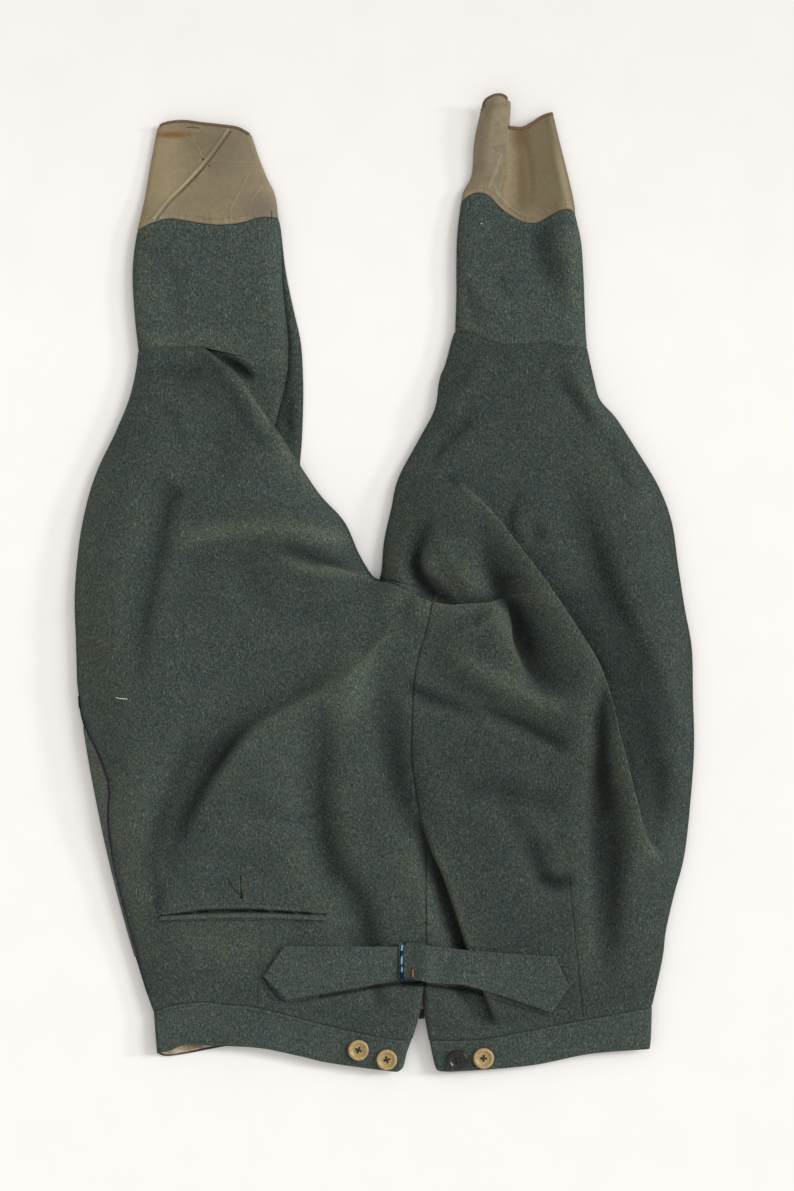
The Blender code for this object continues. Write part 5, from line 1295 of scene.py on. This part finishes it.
def strip_rise(x, y):
    """The soft fold of the lower layer beyond the upper right leg."""
    gap, side, _, _ = nearest(named("right_calf_inner knee_fold_inner"), x, y)
    beyond = np.where(side > 0, gap, 0) * (y > STRIP_END)
    free = distance_to(["right_calf_under", "right_knee_under"], x, y)
    return STRIP_RISE * ease(beyond / STRIP_RUN) * ease(free / STRIP_RUN)


# The pieces of cloth

def four_sided(first, last, right, left, cell, drawn_in):
    """Plan points of a piece between four runs, with cells of about one size, drawn in at each side."""
    columns = max(3, round(max(lengths_along(first)[-1], lengths_along(last)[-1]) / cell))
    rows = max(3, round(max(lengths_along(right)[-1], lengths_along(left)[-1]) / cell))
    across, down = np.linspace(0, 1, columns + 1), np.linspace(0, 1, rows + 1)
    grid = patch(along_line(first, across), along_line(last, across), along_line(right, down),
                 along_line(left, down))
    return inset(grid, *drawn_in)


def make_lower_layer():
    """The front of the garment and the lower walls of the leg ends, flat on the surface."""
    half, at_knee = GAP / 2 + LOWER_INSET, KNEE_GAP / 2
    for node, first, last, right, left, cell, drawn_in in (
            ("front_right", "right_knee_front", "front_seam_right", "right_thigh_outer right_seat_outer",
             "right_knee_under right_fold_lower front_centre", FRONT_CELL, (at_knee, half)),
            ("front_left", "left_knee_front", "front_seam_left", "left_thigh_inner front_centre",
             "left_thigh_outer", FRONT_CELL, (at_knee, half)),
            ("calf_front_right", "right_cuff_front", "right_knee_front", "right_calf_outer",
             "right_calf_under", STRIP_CELL, (half, at_knee)),
            ("calf_front_left", "left_cuff_front", "left_knee_front", "left_calf_inner",
             "left_calf_outer", FRONT_CELL, (half, at_knee)),
            ("waistband_front_right", "front_seam_right", "front_edge_right", "front_band_end",
             "front_band_centre", STRIP_CELL, (half, half)),
            ("waistband_front_left", "front_seam_left", "front_edge_left", "front_band_centre",
             "front_band_left_end", STRIP_CELL, (half, half))):
        grid = four_sided(named(first), named(last), named(right), named(left), cell, (*drawn_in, half, half))
        rise = strip_rise(grid[..., 0], grid[..., 1]) if node in ("front_right", "calf_front_right") else 0.0
        flat_cloth(node, grid, WOOL_WALL, WOOL_UNDER, MILD_TURN, rise)
    for node, first, last, right, left in (
            ("cuff_front_right", "right_hem_front", "right_cuff_front", "right_cuff_outer_front",
             "right_cuff_inner_front"),
            ("cuff_front_left", "left_hem_front", "left_cuff_front", "left_cuff_inner_front",
             "left_cuff_outer_front")):
        grid = four_sided(named(first), named(last), named(right), named(left), STRIP_CELL, [half] * 4)
        flat_cloth(node, grid, LINEN_WALL, LINEN_INSIDE, SLIGHT_TURN)


def make_lining():
    """The pale lining on the front right band, short of the band's edge by the wool turned over it."""
    columns, rows = 150, 21
    upper = spread("front_seam_right", columns) - (0, LINING_TOP)
    lower = spread("front_edge_right", columns)
    lower[:, 1] += np.linspace(*LINING_LOW, columns + 1)
    across = np.linspace(0, 1, rows + 1)[:, None, None]
    grid = (upper[None] * (1 - across) + lower[None] * across) + (LINING_SIDE, 0)
    grid[..., 0] = np.minimum(grid[..., 0], LINING_END)
    x, y = grid[..., 0], grid[..., 1]
    wave = np.sin(x * 0.55 + 1.3 * np.sin(y * 0.35))
    wrinkle = LINING_WRINKLE * wave * np.exp(-((x - LINING_CORNER) / LINING_CORNER_RUN) ** 2)
    outer = np.dstack([x, y, WOOL_WALL + GAP + LINING_WALL + wrinkle])
    inner = outer - (0, 0, LINING_WALL)
    piece = shell("waistband_lining_cloth", grid, outer, inner, COTTON, [LEAST_TURN] * 4)
    fit_sheet(piece, "waistband_lining")


def make_legs():
    """Lower legs and leg ends, upper layer."""
    half, at_knee, soft, turn = GAP / 2, KNEE_GAP / 2, EDGE_TURN, THIN_TURN
    calf = (CALF_CELL, leg_height, WOOL_WALL, WOOL_CALF, "wool")
    linen = (LINEN_CELL, leg_height, LINEN_WALL)
    for node, first, last, right, left, make, drawn_in, turned_sides, rests_on in (
            ("calf_back_right", "right_cuff_seam", "right_knee_outer right_knee_inner", "right_calf_outer",
             "right_calf_inner", calf, (half, at_knee, soft, soft), (0, 0, soft, soft), "calf_front_right"),
            ("cuff_back_right", "right_hem", "right_cuff_seam", "right_cuff_outer", "right_cuff_inner",
             (*linen, LINEN_RIGHT, "linen"), (turn, half, turn, turn), (turn, 0, turn, turn),
             "cuff_front_right"),
            ("calf_back_left", "left_cuff_seam_tab left_cuff_seam_back", "left_knee_seam", "left_calf_inner",
             "left_calf_outer", calf, (half, at_knee, soft, soft), (0, 0, soft, soft), "calf_front_left"),
            ("cuff_tab_left", "left_tab_hem", "left_cuff_seam_tab", "left_cuff_inner",
             "left_tab_end left_tab_side", (LINEN_CELL, tab_height, LINEN_WALL, LINEN_TAB, "linen"),
             (turn, half, turn, -TAB_LAP), (turn, 0, turn, 0), "cuff_front_left"),
            ("cuff_back_left", "left_cuff_hem", "left_cuff_seam_back", "left_tab_side", "left_cuff_outer",
             (*linen, LINEN_SUNK, "linen"), (turn, half, half, turn), (turn, 0, 0, turn), "cuff_front_left")):
        cell, height, wall, finish, slot_name = make
        grid = four_sided(named(first), named(last), named(right), named(left), cell, drawn_in)
        cloth(node, grid, height, wall, finish, turned_sides, finer=True)


def seat_line(names):
    """A run of named lines cut into rows, with each row's share of the whole. The second line is the lap."""
    runs = [spread(name, max(2, round(lengths_along(smooth_line(LINES[name]))[-1] / SEAT_CELL)))
            for name in names.split()]
    weights = [np.full(len(run) - 1, LAP_WEIGHT if k == 1 else 1) for k, run in enumerate(runs)]
    line = joined(*runs)
    return line, fractions_of(line, np.concatenate(weights))


def make_seat():
    """Back panels, the turned-up side of the front panel and the cloth folded under at the knee."""
    half, at_knee, soft = GAP / 2, KNEE_GAP / 2, EDGE_TURN
    across = np.linspace(0, 1, round(SEAT_WIDTH / SEAT_CELL) + 1)

    inner, shares = seat_line("right_fold_edge crotch_lap centre_back notch_right")
    outer = along_line(named("right_thigh_outer right_piping"), shares)
    grid = patch(spread("right_knee_outer", across), spread("right_waist_seam", across), outer, inner)
    cloth("back_right", inset(grid, at_knee, half, half, half), thigh_height, WOOL_WALL, WOOL_RIGHT,
          (0, 0, MILD_TURN, soft), finer=True)

    beside = outer[(outer[:, 1] < SIDE_TOP) & (outer[:, 1] > SIDE_BOTTOM)]
    line = smooth_line(LINES["right_seat_outer"])
    edge = np.column_stack([np.interp(-beside[:, 1], -line[:, 1], line[:, 0]), beside[:, 1]])
    shares = np.linspace(0, 1, NARROW_ROWS)[None, :, None]
    strip = edge[:, None] + (beside - (GAP, 0) - edge)[:, None] * shares
    cloth("front_right_side", strip, thigh_height, WOOL_WALL, WOOL_FRONT,
          (SLIGHT_TURN, SLIGHT_TURN, MILD_TURN, 0))

    inner, shares = seat_line("left_thigh_inner crotch_lap centre_back notch_left")
    outer = along_line(named("left_thigh_outer"), shares)
    grid = patch(spread("left_knee_seam", across), spread("left_waist_seam", across), inner, outer)
    cloth("back_left", inset(grid, at_knee, half, half, soft), thigh_height, WOOL_WALL, WOOL_LEFT,
          (0, 0, soft, soft), finer=True)

    tip = np.linspace(LINES["knee_fold_outer"][-1], LINES["knee_fold_inner"][-1], NARROW_ROWS)
    fold = four_sided(named("right_knee_inner"), tip, named("knee_fold_outer"), named("knee_fold_inner"),
                      CALF_CELL, (at_knee, 0, 0, MILD_TURN))
    cloth("knee_fold_right", fold, knee_fold_height, WOOL_WALL, WOOL_CALF,
          (0, 0, 0, FIRM_TURN))


def make_waistband():
    """Back waistband halves."""
    soft = EDGE_TURN
    for node, first, last, right, left, rests_on in (
            ("waistband_back_right", "right_waist_seam", "right_waist_edge", "right_band_side",
             "band_notch_right", "waistband_lining"),
            ("waistband_back_left", "left_waist_seam", "left_waist_edge", "band_notch_left",
             "left_band_side", "waistband_front_left")):
        grid = four_sided(named(first), named(last), named(right), named(left), BAND_CELL,
                          (GAP / 2, soft, soft, soft))
        cloth(node, grid, thigh_height, BAND_WALL, WOOL_BAND, (0, soft, soft, soft))


def make_cinch():
    """The two halves of the cinch, moved out from the seat. Their lines keep their corners."""
    draw, turn, slight = THIN_TURN, FIRM_TURN, SLIGHT_TURN
    for side, right, left, drawn_in, turned_sides in (
            ("right", "tip", "meet", (draw, draw, draw, 0), (turn, turn, turn, slight)),
            ("left", "meet", "tip", (draw, draw, 0, draw), (turn, turn, slight, turn))):
        runs = [np.array(CINCH[f"{side}_{name}"], float) for name in ("top", "low", right, left)]
        grid = four_sided(*runs, STRAP_CELL, drawn_in)
        cloth(f"cinch_strap_{side}", grid, strap_height, STRAP_WALL, WOOL_STRAP,
              turned_sides)


def welt_height(x, y):
    """The welt lies just clear of the seat."""
    return thigh_height(x, y) + GAP + STRAP_LIFT + WELT_WALL


def make_pocket():
    """The welt of the back pocket, moved out from the seat."""
    x = np.linspace(WELT_RIGHT, WELT_LEFT, WELT_COLUMNS)
    upper = WELT_Y + WELT_BOW * np.sin((x - WELT_RIGHT) / (WELT_LEFT - WELT_RIGHT) * math.pi)
    rows = [np.column_stack([x, upper - WELT_WIDTH * share]) for share in np.linspace(0, 1, WELT_ROWS)]
    cloth("pocket_welt", np.stack(rows), welt_height, WELT_WALL, WOOL_STRAP,
          (SLIGHT_TURN, LEAST_TURN, 0, 0))


# Trims and sewing

def tube_mesh(name, runs, radius, finish, flats):
    """Round cords along runs of points, closed with small caps, as one piece, with a painted highlight marked
    along the top of each.
    """
    points, faces, top_highlight = [], [], []
    turns = np.linspace(0, 2 * math.pi, flats, endpoint=False)
    for run in runs:
        run = np.asarray(run, float)
        way = np.gradient(run, axis=0)
        way /= np.linalg.norm(way, axis=1)[:, None] + TINY
        across = np.cross(way, [0, 0, 1.0])
        across /= np.linalg.norm(across, axis=1)[:, None] + TINY
        up = np.cross(across, way)
        shrink = np.ones(len(run))
        shrink[[0, -1]] = CORD_END
        first = len(points)
        for place, side, rise, share in zip(run, across, up, shrink):
            for turn in turns:
                points.append(place + (side * math.cos(turn) + rise * math.sin(turn)) * radius * share)
                top_highlight.append(max(0.0, math.sin(turn)) ** 4)
        for ring in range(first, first + (len(run) - 1) * flats, flats):
            for j in range(flats):
                after = (j + 1) % flats
                faces.append((ring + j, ring + after, ring + flats + after, ring + flats + j))
        faces.append(tuple(first + j for j in range(flats))[::-1])
        faces.append(tuple(first + (len(run) - 1) * flats + j for j in range(flats)))
    piece = put_in_scene(name, new_mesh(name, points, faces, top_highlight), finish)
    close_up(piece)
    return piece


def beside_line(line, offset):
    """A run of points moved square to itself, to its left for a positive offset."""
    way = np.gradient(line, axis=0)
    way /= np.linalg.norm(way, axis=1)[:, None] + TINY
    return line + np.column_stack([-way[:, 1], way[:, 0]]) * offset


def shortened(line, start, end, points=None):
    """The part of a run between two fractions of its length."""
    return along_line(line, np.linspace(start, end, points or len(line)))


def stitch_plan(line, length, gap):
    """Short runs of thread along a line in plan, four points to a stitch."""
    total = lengths_along(line)[-1]
    starts = np.arange(gap, total - length, length + gap)
    shares = (starts[:, None] + np.linspace(0, length, 4)[None, :]) / total
    return along_line(line, shares.reshape(-1)).reshape(-1, 4, 2)


def sew(name, lines, height, finish, length=2.4, gap=1.0, radius=0.25, lift=0.1):
    """Rows of stitches on the cloth as one piece, each stitch sunk at its two ends."""
    plan = np.concatenate([stitch_plan(line, length, gap) for line in lines])
    z = height(plan[..., 0], plan[..., 1]) + lift
    z[:, [0, -1]] -= STITCH_SINK
    fit(tube_mesh(name, np.dstack([plan, z]), radius, finish, 5))


def bind(name, line, width, finish, start):
    """A narrow binding sewn over the edge of a leg end along a line."""
    rows, cells = 5, round(lengths_along(line)[-1])
    run = along_line(line, np.linspace(0, 1, cells + 1))
    grid = np.stack([beside_line(run, offset) for offset in np.linspace(start, start + width, rows + 1)])
    wobble = BINDING_WOBBLE * np.sin(np.arange(cells + 1) * 1.9)[None, :]
    crown = BINDING_CROWN * np.sin(np.linspace(0.35, 1, rows + 1) * math.pi)[:, None]
    face = leg_height(grid[..., 0], grid[..., 1]) + BINDING_CLEAR + crown + wobble
    outer = np.dstack([grid, face])
    piece = shell(name, grid, outer, outer - (0, 0, BINDING_WALL), finish, (0.25, LEAST_TURN, 0, 0))
    close_up(piece)
    fit(piece)


def make_trims():
    """Bindings and stitching of the leg ends, seams and cinch."""
    bind("binding_right_leg_end", shortened(named("right_hem"), 0.03, 0.98, 80), -1.9, BINDING_BROWN, 0.4)
    bind("binding_left_leg_end", named("left_cuff_hem"), -2.4, BINDING_RED, 0.4)
    bind("binding_left_tab", shortened(named("left_tab_hem"), 0.02, 0.9, 40), -1.5, BINDING_BROWN, 0.3)

    sew("leg_end_stitching", [
        shortened(beside_line(named("right_cuff_seam"), 5.2), 0.06, 0.97),
        shortened(beside_line(named("left_cuff_seam_tab left_cuff_seam_back"), 4.6), 0.06, 0.94),
        shortened(beside_line(named("left_cuff_seam_back"), 7.4), 0.0, 0.86),
    ], leg_height, KHAKI_THREAD, length=2.2, gap=0.9)
    sew("wool_stitching", [
        beside_line(named("right_waist_seam"), -3.2),
        beside_line(named("left_waist_seam"), -3.2),
        beside_line(named("right_waist_edge"), 3.6),
        beside_line(named("left_waist_edge"), 3.6),
        smooth_line([(-169, -272), (-125, -270), (-82, -271.5)]),
        smooth_line([(-188, -286), (-140, -284.6), (-95, -284.6), (-50, -286)]),
    ], thigh_height, DARK_THREAD, radius=0.22)
    slit = smooth_line([(-121, -247), (-121, -257), (-120.6, -264)])
    sew("buttonhole_stitching", [beside_line(slit, 0.9), beside_line(slit, -0.9)], thigh_height,
        KHAKI_THREAD, length=0.9, gap=0.3, radius=0.28, lift=0.2)
    sew("cinch_stitching", [np.array([(52, -309), (52.3, -321)], float)], strap_height, PALE_THREAD,
        length=2.6, radius=0.3)


def make_piping():
    """The piping cord, half sunk between the front and back panels, with a slight wander."""
    points = spread("right_piping", np.linspace(0.04, 0.95, PIPING_POINTS))
    count = np.arange(PIPING_POINTS)
    sink = np.interp(points[:, 1], *np.array(PIPING_SINK).T)
    z = thigh_height(points[:, 0], points[:, 1], FOLDS) + sink
    wobble = PIPING_WANDER * np.sin(count * 0.6) * np.sin(count * 0.17)
    piece = tube_mesh("outseam_piping_cord", [np.column_stack([points[:, 0] + wobble, points[:, 1], z])],
                      PIPING_SHOWN / 2, PURPLE_PIPING, 10)
    fit(piece, "outseam_piping")


def make_buckle():
    """The blued wire frame and the prong's tip. One bar lies on the strap, the other is hidden under its
    arch, and the upper bar dips under the strap beside the corner."""
    over = GAP + BUCKLE_WIRE / 2 + BUCKLE_CLEAR
    right, left = BUCKLE_RIGHT + BUCKLE_CORNER, BUCKLE_LEFT - BUCKLE_CORNER
    top, bottom = BUCKLE_TOP - BUCKLE_CORNER, BUCKLE_BOTTOM + BUCKLE_CORNER
    under_bar, under_strap = strap_height(np.array([BUCKLE_RIGHT, BUCKLE_LEFT]), np.array([bottom, bottom]))
    shown = under_bar + over
    hidden = under_strap - STRAP_WALL - over - BUCKLE_SUNK
    path = [(BUCKLE_LEFT, (top + bottom) / 2, hidden)]
    for centre_x, centre_y, turn, z in ((left, top - BUCKLE_TUCK, 0, hidden), (right, top, 90, shown),
                                        (right, bottom, 180, shown), (left, bottom, 270, hidden)):
        if turn == 90:
            path.append((right + BUCKLE_DIP, BUCKLE_TOP - BUCKLE_TUCK, hidden))
        for angle in np.radians(np.linspace(turn, turn + 90, 9)):
            path.append((centre_x + BUCKLE_CORNER * math.cos(angle),
                         centre_y + BUCKLE_CORNER * math.sin(angle), z))
    path = along_line(np.array([*path, path[0]]), np.linspace(0, 1, 161))
    piece = tube_mesh("buckle_frame_wire", [path], BUCKLE_WIRE / 2, BLUED, 16)
    # The painted highlight is narrowed to the top of the wire and faded out along the lower bar, as painted
    # shade there
    start, run = BUCKLE_HIGHLIGHT_FADE
    for mark, vert in zip(piece.data.attributes["dirt_wear_and_painted_light"].data, piece.data.vertices):
        mark.value *= mark.value * min(max((vert.co.y / MM - BUCKLE_BOTTOM - start) / run, 0), 1)
    fit(piece, "buckle_frame")

    tip = along_line(np.array(PRONG, float), np.linspace(0, 1, 12))
    face = strap_height(tip[:, 0], tip[:, 1]) + GAP + PRONG_DIAMETER / 2
    piece = tube_mesh("buckle_prong_tip", [np.column_stack([tip, face])], PRONG_DIAMETER / 2, COPPER, 12)
    fit(piece, "buckle_prong")


# Outline of half a brace button, from its middle out over the rim to the back, as shares of its
# radius and thickness
BUTTON_PROFILE = [(0, 0.50), (0.30, 0.50), (0.55, 0.53), (0.62, 0.60), (0.68, 0.80), (0.74, 0.93),
                  (0.82, 1.0), (0.90, 0.98), (0.96, 0.86), (1.0, 0.66), (1.0, 0.40), (0.95, 0.16),
                  (0.84, 0.0), (0, 0)]


def built_mesh(name, made):
    """A mesh from what was built, which is then let go."""
    mesh = bpy.data.meshes.new(name)
    made.to_mesh(mesh)
    made.free()
    return mesh


def turned_disc(name, finish):
    """A button turned on the lathe."""
    made = bmesh.new()
    ring = [made.verts.new((BUTTON_DIAMETER / 2 * out * MM, 0, BUTTON_THICKNESS * up * MM))
            for out, up in BUTTON_PROFILE]
    edges = [made.edges.new(pair) for pair in zip(ring[:-1], ring[1:])]
    bmesh.ops.spin(made, geom=ring + edges, cent=(0, 0, 0), axis=(0, 0, 1), angle=2 * math.pi, steps=64,
                   use_merge=True)
    bmesh.ops.remove_doubles(made, verts=made.verts, dist=0.00001)
    bmesh.ops.recalc_face_normals(made, faces=made.faces)
    return put_in_scene(name, built_mesh(name, made), finish)


def bore(disc, holes):
    """Cut the four holes through a button, and take the cutter away."""
    radius = BUTTON_HOLE_DIAMETER / 2 * MM
    drill = bmesh.new()
    for x, y in holes:
        place = Matrix.Translation(Vector((x, y, BUTTON_THICKNESS / 2)) * MM)
        bmesh.ops.create_cone(drill, cap_ends=True, segments=20, radius1=radius, radius2=radius,
                              depth=3 * BUTTON_THICKNESS * MM, matrix=place)
    cutter = put_in_scene("drill", built_mesh("drill", drill))
    cut = disc.modifiers.new("holes", "BOOLEAN")
    cut.operation = "DIFFERENCE"
    cut.object = cutter
    bored = bpy.data.meshes.new_from_object(disc.evaluated_get(bpy.context.evaluated_depsgraph_get()))
    disc.modifiers.clear()
    disc.data = bored
    bpy.data.objects.remove(cutter)


def soil_button(disc):
    """Mark the dirt in a button's dish and along the ledge round it."""
    points = np.array([vert.co for vert in disc.data.vertices]) / MM
    from_middle = np.hypot(points[:, 0], points[:, 1]) / (BUTTON_DIAMETER / 2)
    dish = DISH_DIRT * np.clip((DISH_EDGE - from_middle) / DISH_FADE, 0, 1)
    ledge = LEDGE_DIRT * np.exp(-((from_middle - LEDGE) / LEDGE_RUN) ** 2)
    dirt_wear_and_painted_light = np.maximum(dish, ledge).astype(np.float32)
    disc.data.attributes.new("dirt_wear_and_painted_light", "FLOAT", "POINT").data.foreach_set("value", dirt_wear_and_painted_light)


def button_thread(holes, seat):
    """Two threads each way across a button through its holes, one lying over the other."""
    face = BUTTON_THICKNESS / 2
    shares = np.linspace(0, 1, 9)[:, None]
    runs = []
    for k, (a, b) in enumerate(((0, 2), (1, 3), (0, 2), (1, 3))):
        span = holes[b] - holes[a]
        across = np.array([-span[1], span[0]]) / np.linalg.norm(span)
        plan = holes[a] + span * shares + across * (THREAD_APART if k < 2 else -THREAD_APART)
        arch = THREAD_ARCH * np.sin(shares[:, 0] * math.pi)
        lift = face + THREAD_CLEAR + arch + THREAD_OVER * (k % 2)
        lift[[0, -1]] = face - THREAD_SINK
        runs.append([tuple(seat @ (Vector((p[0], p[1], z)) * MM) / MM) for p, z in zip(plan, lift)])
    return runs


def button_seat(x, y):
    """Where a button sits: tilted with the band and lifted clear of it."""
    reach = BUTTON_DIAMETER / 2
    ring = [(x + reach * math.cos(a), y + reach * math.sin(a)) for a in np.linspace(0, 2 * math.pi, 13)]
    ring = np.array([(x, y)] + ring)
    z = thigh_height(ring[:, 0], ring[:, 1], FOLDS)
    slope_x = np.polyfit(ring[:, 0] - x, z, 1)[0]
    slope_y = np.polyfit(ring[:, 1] - y, z, 1)[0] * BUTTON_LEAN
    plane = z[0] + slope_x * (ring[:, 0] - x) + slope_y * (ring[:, 1] - y)
    stand = max(0, float(np.max(z - plane))) + BUTTON_STAND
    turn = Vector((-slope_x, -slope_y, 1)).normalized().to_track_quat("Z", "Y")
    return Matrix.Translation(Vector((x, y, z[0] + stand)) * MM) @ turn.to_matrix().to_4x4()


def make_buttons():
    """Brace buttons, tilted to lie on the band, sewn on with crossed thread."""
    for name, x, y, slot_name, turn in BUTTONS:
        disc = turned_disc(name + "_disc", TAN_COROZO if slot_name == "horn_tan" else BLACK_HORN)
        angles = np.radians(turn + 45 + 90 * np.arange(4))
        holes = np.column_stack([np.cos(angles), np.sin(angles)]) * BUTTON_HOLE_PITCH / 2
        bore(disc, holes)
        soil_button(disc)
        disc.data.shade_smooth()
        disc.data.set_sharp_from_angle(angle=math.radians(BUTTON_SHARP_ANGLE))
        seat = button_seat(x, y)
        disc.data.transform(seat)
        fit(disc, name)
        fit(tube_mesh(name + "_thread", button_thread(holes, seat), THREAD_RADIUS, DARK_THREAD, 7))


def make_marks():
    """Lint caught on the wool: a white thread beside the piping and two pale specks."""
    thread = smooth_line([(-226, -95.9), (-223.5, -96.8), (-220, -97), (-216.5, -97.3)], 6)
    specks = [np.array([(x - 0.7, y), (x, y + 0.3), (x + 0.8, y)]) for x, y in ((184, -84.5), (82, 304.5))]
    runs = [np.column_stack([line, height(*line.T) + lift]) for line, height, lift in (
        (thread, thigh_height, 0.5), (specks[0], thigh_height, 0.4), (specks[1], leg_height, 0.4))]
    fit(tube_mesh("lint", runs, 0.35, WHITE_THREAD, 6))


# Stage, camera and light

CAMERA_LENS = 80.0
CAMERA_X = 10.6
CAMERA_Y = -10.2
CAMERA_AIM_Z = 3.0
VISIBLE_HEIGHT = 1012.35
SENSOR = 36.0
FLOOR_HALF = 6000
FLOOR_DROP = 0.2
WORLD_STRENGTH = 0.74
# A broad soft box to the right of the garment, far enough off to light the paper evenly, and a second, low
# one beyond it that throws the faint bands of shadow on the paper: direction, strength and spread
LAMPS = {
    "key": ((-1.7, -0.75, -1.2), 1.4, 18.0),
    "low": ((-1.0, -0.2, -0.34), 0.9, 5.0),
}


def set_stage():
    """A white paper sweep under the garment, a camera straight above and soft light from above right."""
    made = bmesh.new()
    bmesh.ops.create_grid(made, x_segments=2, y_segments=2, size=FLOOR_HALF * MM)
    floor = put_in_scene("floor", built_mesh("floor", made), PAPER)
    floor.location.z = -FLOOR_DROP * MM

    lens = bpy.data.cameras.new("camera")
    lens.lens = CAMERA_LENS
    lens.sensor_width = SENSOR
    lens.sensor_fit = "AUTO"
    camera = put_in_scene("camera", lens)
    height = CAMERA_AIM_Z + VISIBLE_HEIGHT * CAMERA_LENS / SENSOR
    camera.location = Vector((CAMERA_X, CAMERA_Y, height)) * MM
    bpy.context.scene.camera = camera

    world = bpy.data.worlds.new("studio")
    world.use_nodes = True
    background = world.node_tree.nodes["Background"]
    feed(world.node_tree, background, {"Color": linear("#fffdfa"), "Strength": WORLD_STRENGTH})
    bpy.context.scene.world = world

    for name, (way, strength, wide) in LAMPS.items():
        lamp = bpy.data.lights.new(name, "SUN")
        lamp.energy = strength
        lamp.angle = math.radians(wide)
        put_in_scene(name, lamp).rotation_euler = Vector(way).to_track_quat("-Z", "Y").to_euler()
    bpy.context.scene.view_settings.view_transform = "Standard"


set_stage()
make_lower_layer()
make_lining()
make_legs()
make_seat()
make_waistband()
make_cinch()
make_pocket()
make_piping()
make_buckle()
make_trims()
make_buttons()
make_marks()
